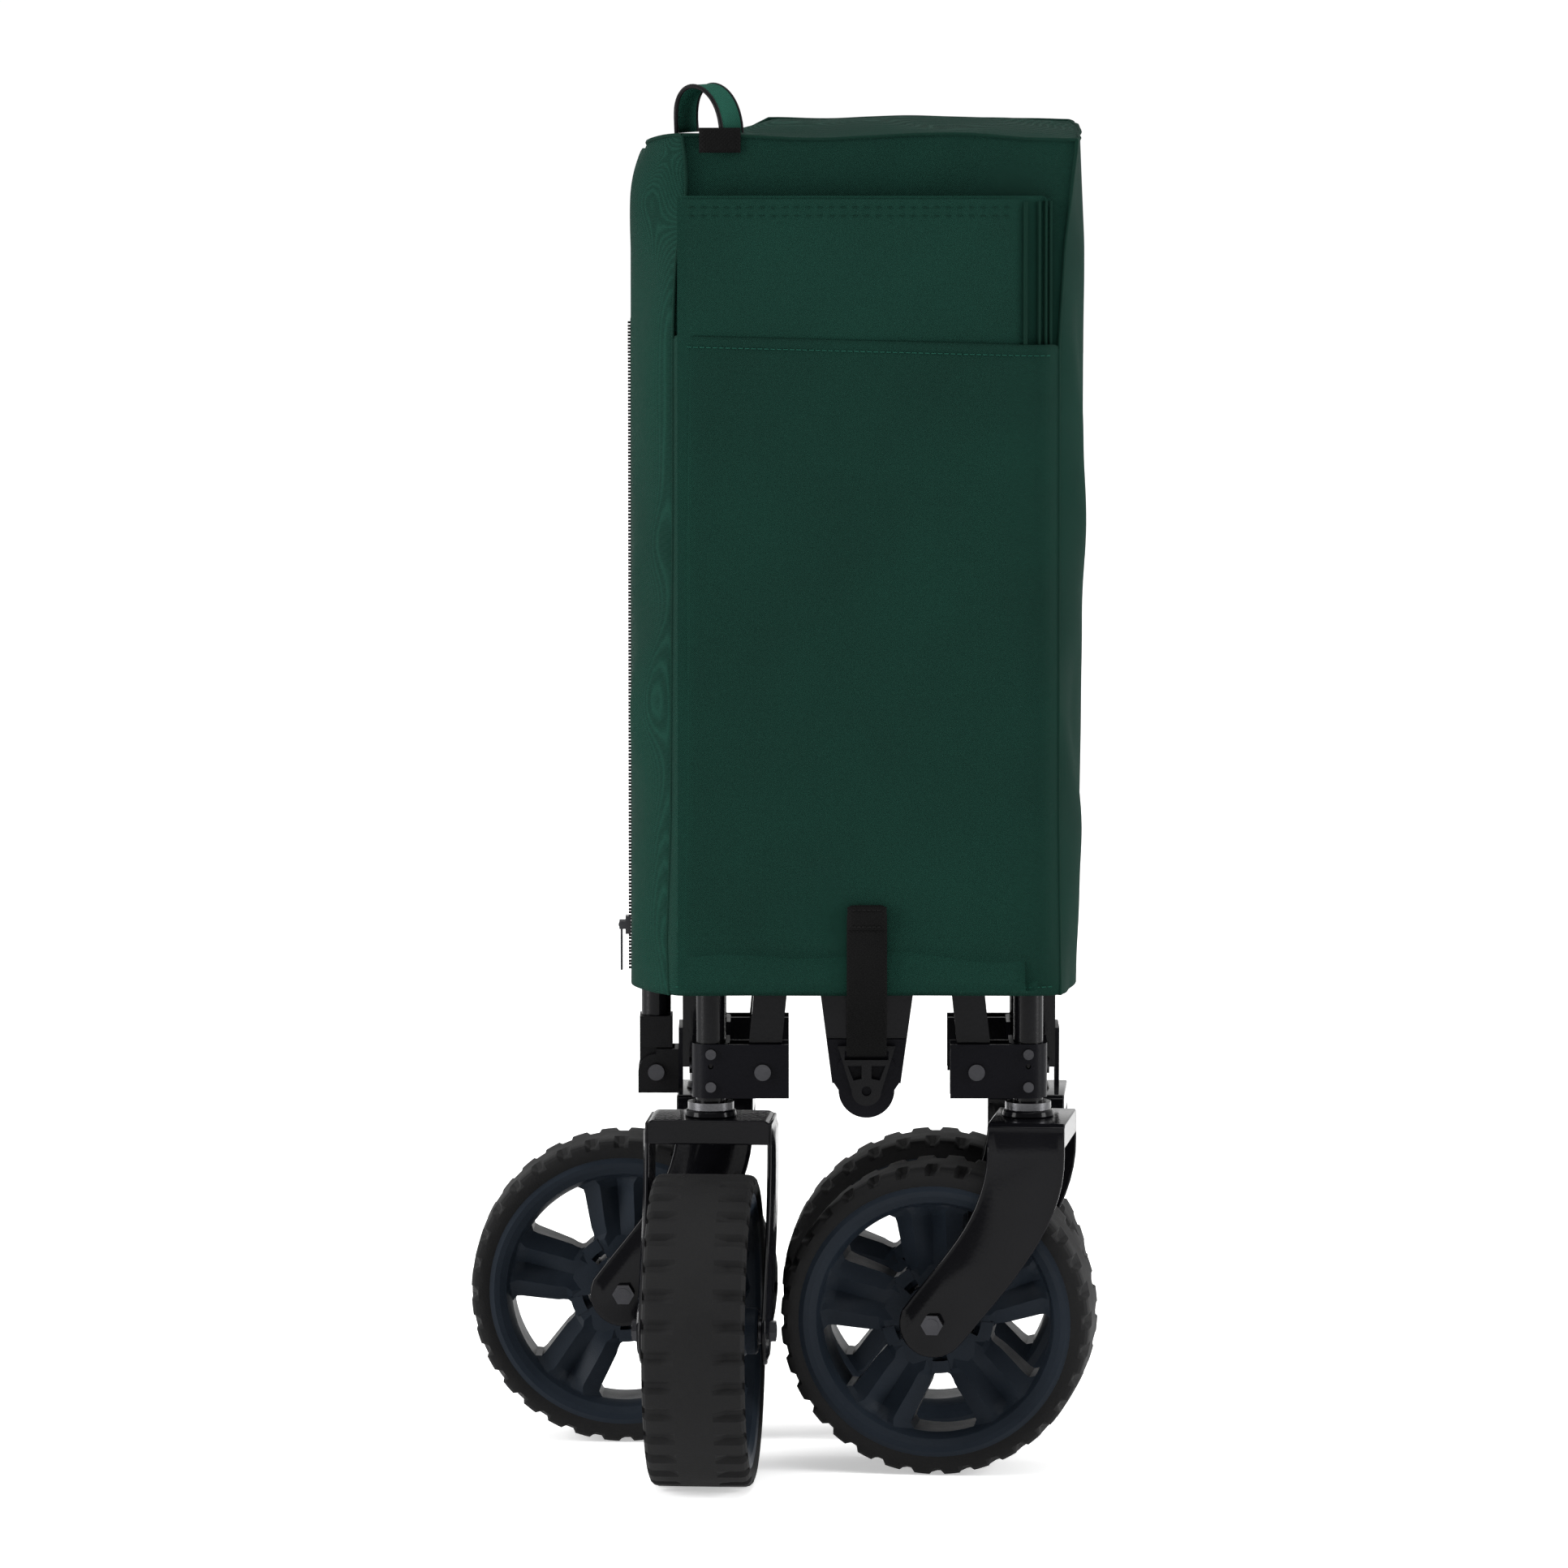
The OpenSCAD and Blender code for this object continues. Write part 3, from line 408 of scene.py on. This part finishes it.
def fork_mesh():
    bm = bmesh.new()
    for side in (-1, 1):
        inner = side * (FORK_HALF - 0.0042)
        loop = [bm.verts.new((x / 1000.0 - TRAIL, inner, z / 1000.0 + AXLE_HEIGHT))
                for x, z in arm_outline()]
        face = bm.faces.new(loop)
        moved = bmesh.ops.extrude_face_region(bm, geom=[face])["geom"]
        outer = [g for g in moved if isinstance(g, bmesh.types.BMFace)]
        bmesh.ops.translate(bm, verts=[g for g in moved if isinstance(g, bmesh.types.BMVert)],
                            vec=(0, side * 0.0028, 0))
        bmesh.ops.recalc_face_normals(bm, faces=bm.faces)
        bmesh.ops.inset_region(bm, faces=outer, thickness=0.0032, depth=0.0, use_even_offset=True)
        bmesh.ops.inset_region(bm, faces=outer, thickness=0.0030, depth=0.0014, use_even_offset=True)
    crown = bmesh.ops.create_cube(bm, size=1.0, matrix=Matrix.Translation((0.0025, 0.0, CROWN_TOP - 0.0075))
                                  @ Matrix.Diagonal((0.047, 2.0 * FORK_HALF - 0.0024, 0.015, 1.0)))["verts"]
    top = [v for v in crown if v.co.z > CROWN_TOP - 0.001]
    corners = [e for e in bm.edges if e.verts[0] in top and e.verts[1] in top
               and abs(e.verts[0].co.y - e.verts[1].co.y) < 1e-6]
    bmesh.ops.bevel(bm, geom=corners, offset=0.006, segments=5, profile=0.5, affect="EDGES", material=-1)
    for low, high, radius in ((0.218, 0.2222, 0.016), (0.2205, 0.2235, 0.0145)):
        bmesh.ops.create_cone(bm, cap_ends=True, segments=40, radius1=radius, radius2=radius - 0.001,
                              depth=high - low, matrix=Matrix.Translation((0, 0, (low + high) / 2)))
    bmesh.ops.recalc_face_normals(bm, faces=bm.faces)
    return bm


for corner in CORNERS:
    fork = keep(fork_mesh(), "pressed_fork_" + corner, fork_paint, "caster_" + corner, "fork_" + corner,
                smooth=40.0, place=caster_place[corner])
    edge = fork.modifiers.new("rolled_edge", "BEVEL")
    edge.width, edge.segments, edge.limit_method, edge.angle_limit = 0.0009, 2, "ANGLE", math.radians(40.0)

# ---- Storage cover ----
# One sewn shell of dark green polyester, open at the hem and hung over the folded frame. The
# sides belly out over the tubes, the top is slack, and the cloth creases between its seams.
def woven(name, dark, light, thread, depth, rough=(0.72, 0.9)):
    # plain weave: threads across and along, seen on whichever way the cloth faces
    finish, at = start_finish(name, specular=0.04)
    x, y, z = at.axes()
    turn = 2.0 * math.pi / thread
    weave = ((x + y) * turn).math("SINE") * (z * turn).math("SINE")
    cloud = at.noise(9.0, 4.0, 0.55)
    fleck = at.noise(900.0, 2.0)
    tone = cloud.span(0.3, 0.7) * 0.7 + fleck * 0.2 + weave * 0.05
    crease = at.noise(38.0, 5.0, 0.6)
    height = weave * 0.25 + crease * 1.6
    return end_finish(finish, tone.shade(dark, light), cloud.span(0.3, 0.7, *rough), height, depth)


cover_cloth = woven("cover_polyester", (0.0034, 0.0200, 0.0142), (0.0058, 0.0290, 0.0206), 0.0011, 0.0014)
HEM, TOP = 0.2965, 0.8155
HALF_DEPTH = 0.0965
INWARD = -1.0
LEFT_SEAM = [(0.296, -0.1215), (0.33, -0.1225), (0.40, -0.120), (0.60, -0.1185), (0.70, -0.1185),
             (0.81, -0.1150)]
RIGHT_SEAM = [(0.296, 0.1150), (0.40, 0.1135), (0.69, 0.1130), (0.75, 0.1165), (0.81, 0.1235)]
LEFT_BELLY = [(0.296, -0.1455), (0.33, -0.1452), (0.782, -0.1452), (0.82, -0.1370)]
RIGHT_BELLY = [(0.296, 0.1265), (0.45, 0.1290), (0.75, 0.1300), (0.82, 0.1270)]


def along(line, z):
    for (z0, x0), (z1, x1) in zip(line, line[1:]):
        if z <= z1:
            return x0 + (x1 - x0) * max(0.0, z - z0) / (z1 - z0)
    return line[-1][1]


def dent(p, at, reach, depth):
    gap = Vector(((p.x - at[0]) / reach[0], (p.y - at[1]) / reach[1], (p.z - at[2]) / reach[2]))
    return depth * math.exp(-gap.length_squared)


def slack(p, seed, size, amount):
    # cloth hangs down, so its slack runs longer in z than across
    spot = Vector((p.x / size, p.y / size, p.z / (size * 2.2)))
    return amount * noise.noise(spot + Vector((seed, seed * 0.7, 0.0)))


def hang(p):
    # from the flat-sided bag, s and t run from -1 to 1 across it and over its depth
    s, t, z = p.x * 2.0, p.y * 2.0, p.z
    left, right = along(LEFT_SEAM, z), along(RIGHT_SEAM, z)
    x = left + (right - left) * (s + 1.0) / 2.0
    swell = (1.0 - abs(t) ** 4.2) * abs(s) ** 8
    x += (along(LEFT_BELLY, z) - left if s < 0.0 else along(RIGHT_BELLY, z) - right) * swell
    here = Vector((x, t * HALF_DEPTH, z))
    side, face = abs(s) ** 8, abs(t) ** 8 * (1.0 - abs(s) ** 9)
    lid = max(0.0, (z - 0.79) / 0.0255) ** 3
    push = slack(here, 3.0, 0.060, 0.0036) + slack(here, 7.0, 0.024, 0.0018)
    free = (1.0 - abs(t) ** 5) * min(1.0, max(0.0, (abs(t) - 0.35) / 0.35))
    fold = 0.0062 * noise.noise(Vector((here.y * 9.0, 4.0 * s, (here.y * 0.9 + z) * 19.0)))
    here.x += math.copysign(1.0, s) * side * free * (push * 0.9 + fold)
    here.y += math.copysign(1.0, t) * face * (min(push, 0.0) if t < 0.0 else push)
    crown = (1.0 - s * s) * (1.0 - t * t)
    here.z += lid * (0.006 * crown + slack(here, 1.0, 0.05, 0.003))
    here.z -= lid * 0.013 * max(0.0, -s - 0.55) * (1.0 + t) / 0.45
    here.x += dent(here, (-0.122, -0.085, 0.785), (0.016, 0.03, 0.03), 0.007)
    here.y += dent(here, (-0.108, -0.097, 0.795), (0.012, 0.02, 0.022), 0.004)
    here.x += dent(here, (-0.140, -0.02, 0.806), (0.03, 0.06, 0.010), 0.004)
    return here


def refine(piece):
    finer = piece.modifiers.new("finer", "SUBSURF")
    finer.levels = finer.render_levels = 1


def thicken(piece, thickness, offset=0.0):
    ply = piece.modifiers.new("ply", "SOLIDIFY")
    ply.thickness, ply.offset = thickness, offset


bm = bmesh.new()
bmesh.ops.create_grid(bm, x_segments=34, y_segments=26, size=0.5)
bmesh.ops.translate(bm, verts=bm.verts, vec=(0.0, 0.0, TOP))
rows = 70
rim_edges = [e for e in bm.edges if e.is_boundary]
for row in range(rows):
    moved = bmesh.ops.extrude_edge_only(bm, edges=rim_edges)["geom"]
    rim_edges = [g for g in moved if isinstance(g, bmesh.types.BMEdge)]
    lower = [g for g in moved if isinstance(g, bmesh.types.BMVert)]
    bmesh.ops.translate(bm, verts=lower, vec=(0, 0, (HEM - TOP) / rows))
sewn = bm.edges.layers.float.new("crease_edge")
for e in bm.edges:
    a, b = e.verts[0].co, e.verts[1].co
    upright = abs(a.x * b.x) > 0.249 and abs(a.y * b.y) > 0.249
    round_top = min(a.z, b.z) > TOP - 1e-5 and (a.x * b.x > 0.249 or a.y * b.y > 0.249)
    e[sewn] = 0.9 if upright or round_top else 0.0
for v in bm.verts:
    v.co = hang(v.co)
close_up(bm)
cover = keep(bm, "sewn_cover", cover_cloth, "cover", "cover_front", "cover_back", "cover_left",
             "cover_right", "cover_top", smooth=60.0)
refine(cover)
thicken(cover, 0.0009, INWARD)

# ---- Cover seams and stitching ----
# Narrow sewn ridges where the panels meet, and rows of thread beside the hem and the mouth
# of the pocket.
seam_cloth = woven("seam_binding", (0.0025, 0.013, 0.009), (0.004, 0.02, 0.014), 0.0011, 0.0004)
thread = woven("green_thread", (0.007, 0.042, 0.030), (0.012, 0.06, 0.043), 0.0006, 0.0002)


def cordlike(bm, points, radius, sides=8):
    rings = []
    for i, p in enumerate(points):
        ahead = Vector(points[min(i + 1, len(points) - 1)]) - Vector(points[max(i - 1, 0)])
        place = Matrix.Translation(p) @ ahead.to_track_quat("Z", "Y").to_matrix().to_4x4()
        ring = bmesh.ops.create_circle(bm, cap_ends=False, radius=radius, segments=sides,
                                       matrix=place)["verts"]
        rings.append(list({e for v in ring for e in v.link_edges}))
    for ring, after in zip(rings, rings[1:]):
        bmesh.ops.bridge_loops(bm, edges=ring + after)
    for ring in (rings[0], rings[-1]):
        bmesh.ops.holes_fill(bm, edges=ring, sides=sides + 1)


def stitches(bm, points, pitch=0.0042, stitch=0.0028, across=0.0005):
    for a, b in zip(points, points[1:]):
        run = Vector(b) - Vector(a)
        for k in range(int(run.length / pitch)):
            at = Vector(a) + run.normalized() * (k + 0.5) * pitch
            place = Matrix.Translation(at) @ run.to_track_quat("X", "Z").to_matrix().to_4x4()
            bmesh.ops.create_cube(bm, size=1.0, matrix=place @ Matrix.Diagonal((stitch, across, across, 1.0)))


def surface_at(s, t, z):
    return hang(Vector((s / 2.0, t / 2.0, z)))


bm = bmesh.new()
levels = [HEM + (TOP - HEM) * k / 60.0 for k in range(61)]
for s, t in ((-1, -1), (1, -1), (1, 1), (-1, 1)):
    cordlike(bm, [surface_at(s, t, z) for z in levels], 0.0011)
around = [(-1 + k / 20.0, -1) for k in range(41)] + [(1, -1 + k / 20.0) for k in range(1, 41)]
around += [(1 - k / 20.0, 1) for k in range(1, 41)] + [(-1, 1 - k / 20.0) for k in range(1, 41)]
cordlike(bm, [surface_at(s, t, TOP) for s, t in around], 0.0011)
close_up(bm)
keep(bm, "panel_seams", seam_cloth, "cover")

# ---- Cover pocket ----
# The whole near side below the mouth is one flat pocket panel, sewn in with the corner seams
# and the hem. Its mouth is turned over once and stitched.
POCKET_FRONT = 0.1128
MOUTH = 0.695


def pocket_at(u, z):
    # u runs from -1 at the left seam to 1 at the right seam
    left, right = along(LEFT_SEAM, z), along(RIGHT_SEAM, z)
    x = left + (right - left) * (u + 1.0) / 2.0
    hem_in = 1.0 - math.exp(-(z - HEM) / 0.010)
    full = (1.0 - abs(u) ** (18 if u > 0.0 else 30)) * (0.25 + 0.75 * hem_in)
    y = -(HALF_DEPTH + 0.0008) - (POCKET_FRONT - HALF_DEPTH) * full
    p = Vector((x, y, z))
    flat = (1.0 - abs(u) ** 10)
    p.y += flat * (0.0005 + abs(slack(p, 11.0, 0.09, 0.0016)))
    p.y -= dent(p, (0.0, y, 0.327), (0.20, 1.0, 0.0045), 0.0024) * flat
    p.y += dent(p, (-0.02, y, 0.314), (0.14, 1.0, 0.007), 0.0040) * flat
    p.y += 0.0012 * flat * math.sin(p.x * 60.0 + z * 40.0) * math.exp(-((z - 0.31) / 0.02) ** 2)
    # the mouth runs slightly down to the right
    p.z -= 0.006 * (z - HEM) / (MOUTH - HEM) * ((u + 1.0) / 2.0 - 0.35)
    return p


bm = bmesh.new()
bmesh.ops.create_grid(bm, x_segments=44, y_segments=60, size=1.0)
for v in bm.verts:
    v.co = pocket_at(v.co.x, HEM + (v.co.y + 1.0) / 2.0 * (MOUTH - HEM))
close_up(bm)
if sum(f.normal.y for f in bm.faces) > 0:
    bmesh.ops.reverse_faces(bm, faces=bm.faces)
pocket = keep(bm, "pocket_panel", cover_cloth, "cover", "cover_pocket", smooth=60.0)
refine(pocket)
thicken(pocket, 0.0010, INWARD)

bm = bmesh.new()
for z, lift in ((HEM + 0.006, 0.0004), (MOUTH - 0.0065, 0.0002)):
    row = [pocket_at(k / 30.0, z) + Vector((0, -lift, 0)) for k in range(-29, 30)]
    stitches(bm, row, pitch=0.0038)
keep(bm, "pocket_stitches", thread, "cover")

# ---- Folded canopy ----
# The sun canopy hangs down the near side in four passes of one long cloth, folded top and
# bottom, with its right edges fanned out in steps so that dark gaps show between them.
canopy_cloth = woven("canopy_polyester", (0.0038, 0.0225, 0.0158), (0.0065, 0.0325, 0.0232), 0.0011, 0.0014)
PASS_Y = (-0.0990, -0.1026, -0.1064, -0.1106)
PASS_LEFT, PASS_RIGHT = -0.1160, (0.1085, 0.1055, 0.1015, 0.0935)
CANOPY_TOP, CANOPY_BOTTOM = 0.7785, 0.3015


def canopy_at(step, across):
    # step counts along the cloth from pass to pass, across runs from 0 at the left to 1
    index = min(int(step), 3)
    part = step - index
    turn = 0.055
    down = index % 2 == 0
    run = min(1.0, max(0.0, (part - turn) / (1.0 - 2.0 * turn)))
    if index == 0 and part < turn:
        run = 0.0
    z = CANOPY_TOP + (CANOPY_BOTTOM - CANOPY_TOP) * (run if down else 1.0 - run)
    y = PASS_Y[index]
    right = PASS_RIGHT[index]
    if part > 1.0 - turn and index < 3:
        k = (part - 1.0 + turn) / turn
        y += (PASS_Y[index + 1] - y) * 0.5 * k
        right += (PASS_RIGHT[index + 1] - right) * 0.5 * k
        z += (-1.0 if down else 1.0) * 0.0016 * math.sin(0.5 * math.pi * k)
    if part < turn and index > 0:
        k = 1.0 - part / turn
        y += (PASS_Y[index - 1] - y) * 0.5 * k
        right += (PASS_RIGHT[index - 1] - right) * 0.5 * k
        z += (1.0 if down else -1.0) * 0.0016 * math.sin(0.5 * math.pi * k)
    x = PASS_LEFT + (right - PASS_LEFT) * across
    p = Vector((x, y, z))
    p.y += slack(p, 5.0, 0.07, 0.0008)
    return p


bm = bmesh.new()
bmesh.ops.create_grid(bm, x_segments=30, y_segments=240, size=1.0)
for v in bm.verts:
    v.co = canopy_at((v.co.y + 1.0) * 2.0, (v.co.x + 1.0) / 2.0)
bmesh.ops.recalc_face_normals(bm, faces=bm.faces)
canopy = keep(bm, "folded_canopy_cloth", canopy_cloth, "canopy", "folded_canopy", smooth=70.0)
thicken(canopy, 0.0009)

bm = bmesh.new()
for y, right in zip(PASS_Y, PASS_RIGHT):
    edge = [Vector((right - 0.0008, y - 0.0002, CANOPY_BOTTOM + 0.02 + k * 0.0228)) for k in range(21)]
    cordlike(bm, edge, 0.0013)
for z in (CANOPY_TOP - 0.0045, CANOPY_TOP - 0.0095):
    step = 3.0 + 0.055 + (z - CANOPY_BOTTOM) / (CANOPY_TOP - CANOPY_BOTTOM) * 0.89
    row = [canopy_at(step, k / 30.0) + Vector((0.0, -0.0006, 0.0)) for k in range(1, 30)]
    stitches(bm, row, pitch=0.0036)
close_up(bm)
keep(bm, "canopy_edging", seam_cloth, "canopy")

# ---- Zip ----
# A black woven tape sewn down the middle of the left end, with a nylon coil along it. The
# slider and its pull tab are cast metal and are shown as the CAD solids.
def band(bm, path, across, width, columns=6):
    # a strip of webbing that follows a path, its width lying along one direction
    width_way = Vector(across).normalized() * width
    lines = []
    for point in path:
        spots = [Vector(point) + width_way * (c / columns - 0.5) for c in range(columns + 1)]
        lines.append([bm.verts.new(spot) for spot in spots])
    for near, far in zip(lines, lines[1:]):
        for c in range(columns):
            bm.faces.new((near[c], near[c + 1], far[c + 1], far[c]))
    bmesh.ops.recalc_face_normals(bm, faces=bm.faces)


black_webbing = woven("black_webbing", (0.0016, 0.0016, 0.0016), (0.006, 0.006, 0.006), 0.0024, 0.0007)
zip_low, zip_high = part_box("zip_tape")
bm = bmesh.new()
band(bm, [(zip_low.x + 0.0004, 0.0, zip_low.z + (zip_high.z - zip_low.z) * k / 50.0) for k in range(51)],
     (0, 1, 0), zip_high.y - zip_low.y)
wear_nodes(fastener, "zip_slider", "zip_pull")
tape = keep(bm, "zip_tape_cloth", black_webbing, "cover", "zip_tape")
thicken(tape, 0.0008)

bm = bmesh.new()
for k in range(200):
    at = Vector((zip_low.x - 0.0008, 0.0009 if k % 2 else -0.0009, zip_low.z + 0.001 + k * 0.00199))
    tooth = Matrix.Diagonal((0.0018, 0.0034, 0.0011, 1.0))
    bmesh.ops.create_cube(bm, size=1.0, matrix=Matrix.Translation(at) @ tooth)
keep(bm, "zip_coil", black_plastic, "cover")

# ---- Hook strap ----
# Black webbing sewn to itself at the top. It lies down the front of the pocket, runs in to
# the pressed clip on the frame and is looped through its slot.
strap_low, strap_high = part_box("hook_strap")
strap_mid = (strap_low.x + strap_high.x) / 2.0
strap_way = [(-0.1142, 0.3540), (-0.1146, 0.340), (-0.1146, 0.325), (-0.1146, 0.311), (-0.1142, 0.301),
             (-0.1125, 0.2945), (-0.1080, 0.2875), (-0.1010, 0.2780), (-0.0955, 0.2700), (-0.0934, 0.2650),
             (-0.0928, 0.2610), (-0.0915, 0.2587), (-0.0895, 0.2584), (-0.0875, 0.2592), (-0.0866, 0.2615),
             (-0.0866, 0.266), (-0.0876, 0.271)]
bm = bmesh.new()
band(bm, [(strap_mid, y, z) for y, z in strap_way], (1, 0, 0), strap_high.x - strap_low.x)
strap = keep(bm, "webbing_strap", black_webbing, "frame", "hook_strap", smooth=60.0)
thicken(strap, 0.0014)
refine(strap)

bm = bmesh.new()
fold_way = [(strap_mid, -0.1154, z) for z in (0.3525, 0.348, 0.343, 0.3385)]
band(bm, fold_way, (1, 0, 0), strap_high.x - strap_low.x - 0.001)
end = keep(bm, "strap_folded_end", black_webbing, "frame")
thicken(end, 0.0012)
black_thread = woven("black_thread", (0.006, 0.006, 0.006), (0.012, 0.012, 0.012), 0.0006, 0.0002)
bm = bmesh.new()
half = (strap_high.x - strap_low.x) / 2.0 - 0.003
for z in (0.3505, 0.3405):
    stitches(bm, [(strap_mid - half, -0.1162, z), (strap_mid + half, -0.1162, z)], 0.003, 0.0021, 0.0004)
keep(bm, "strap_stitches", black_thread, "frame")

# ---- Carry loop ----
# A short arch of green webbing bound in black, sewn to the top by its two ends, with a black
# webbing patch below it on the front of the cover.
green_webbing = woven("green_webbing", (0.006, 0.038, 0.026), (0.011, 0.058, 0.041), 0.0024, 0.0007)
loop_low, loop_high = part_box("carry_loop")
loop_mid = (loop_low + loop_high) / 2.0
LOOP_ACROSS = Vector((0.60, 0.80, 0.0)).normalized()
arch = []
for k in range(29):
    a = math.pi * k / 28.0
    lean = 0.0035 * math.sin(a)
    arch.append(Vector((loop_mid.x + 0.0135 * math.cos(a) - lean, loop_mid.y - 0.006 * math.cos(a),
                        loop_low.z - 0.001 + 0.0285 * math.sin(a) ** 0.75)))
bm = bmesh.new()
band(bm, arch, LOOP_ACROSS, 0.020)
loop = keep(bm, "webbing_loop", green_webbing, "cover", "carry_loop", smooth=60.0)
thicken(loop, 0.0016)
bm = bmesh.new()
for side in (-0.5, 0.5):
    cordlike(bm, [p + LOOP_ACROSS * 0.020 * side for p in arch], 0.0014)
close_up(bm)
keep(bm, "loop_binding", black_plastic, "cover")

patch_low, patch_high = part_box("loop_patch")
bm = bmesh.new()
patch_x, patch_y = (patch_low.x + patch_high.x) / 2.0, patch_low.y + 0.0004
patch_way = [(patch_x, patch_y, patch_low.z + (patch_high.z - patch_low.z) * k / 6.0) for k in range(7)]
band(bm, patch_way, (1, 0, 0), patch_high.x - patch_low.x)
patch = keep(bm, "loop_patch_webbing", black_webbing, "cover", "loop_patch")
thicken(patch, 0.0010)

# ---- Folded tub ----
# The fabric tub of the opened wagon, gathered in upright pleats between the folded tubes. It
# is out of sight while the cover is on.
tub_cloth = woven("tub_polyester", (0.003, 0.014, 0.010), (0.005, 0.020, 0.015), 0.0013, 0.0006)
tub_low, tub_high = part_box("folded_tub")
bm = bmesh.new()
pleats = 10
path = []
for k in range(pleats * 2 + 1):
    x = tub_low.x + 0.003 + (tub_high.x - tub_low.x - 0.006) * k / (pleats * 2.0)
    y = tub_low.y + 0.003 if k % 2 else tub_high.y - 0.003
    path.append((x, y))
columns = []
for (x0, y0), (x1, y1) in zip(path, path[1:]):
    columns += [(x0 + (x1 - x0) * t / 6.0, y0 + (y1 - y0) * t / 6.0) for t in range(6)]
columns.append(path[-1])
rows = []
for j in range(25):
    z = tub_low.z + 0.002 + (tub_high.z - tub_low.z - 0.004) * j / 24.0
    rows.append([bm.verts.new((x, y, z)) for x, y in columns])
for low, high in zip(rows, rows[1:]):
    for c in range(len(columns) - 1):
        bm.faces.new((low[c], low[c + 1], high[c + 1], high[c]))
tub = keep(bm, "pleated_tub", tub_cloth, "frame", "folded_tub", smooth=60.0)
thicken(tub, 0.0010)
tub_length = sum(math.hypot(x1 - x0, y1 - y0) for (x0, y0), (x1, y1) in zip(path, path[1:]))

# ---- Floor ----
# A wide pale sweep under the wagon.
floor_finish, floor_at = start_finish("pale_floor")
floor_tone = floor_at.noise(1.5, 2.0)
end_finish(floor_finish, floor_tone.shade((0.9, 0.9, 0.9), (0.94, 0.94, 0.94)),
           floor_tone.span(0.3, 0.7, 0.6, 0.7))
floor_shader = floor_finish.node_tree.nodes["Principled BSDF"]
floor_shader.inputs["Emission Color"].default_value = (1.0, 1.0, 1.0, 1.0)
floor_shader.inputs["Emission Strength"].default_value = 0.45
bm = bmesh.new()
bmesh.ops.create_grid(bm, x_segments=2, y_segments=2, size=9.0)
floor_mesh = bpy.data.meshes.new("floor")
bm.to_mesh(floor_mesh)
bm.free()
floor = bpy.data.objects.new("floor", floor_mesh)
bpy.context.scene.collection.objects.link(floor)
wear(floor_finish, floor)
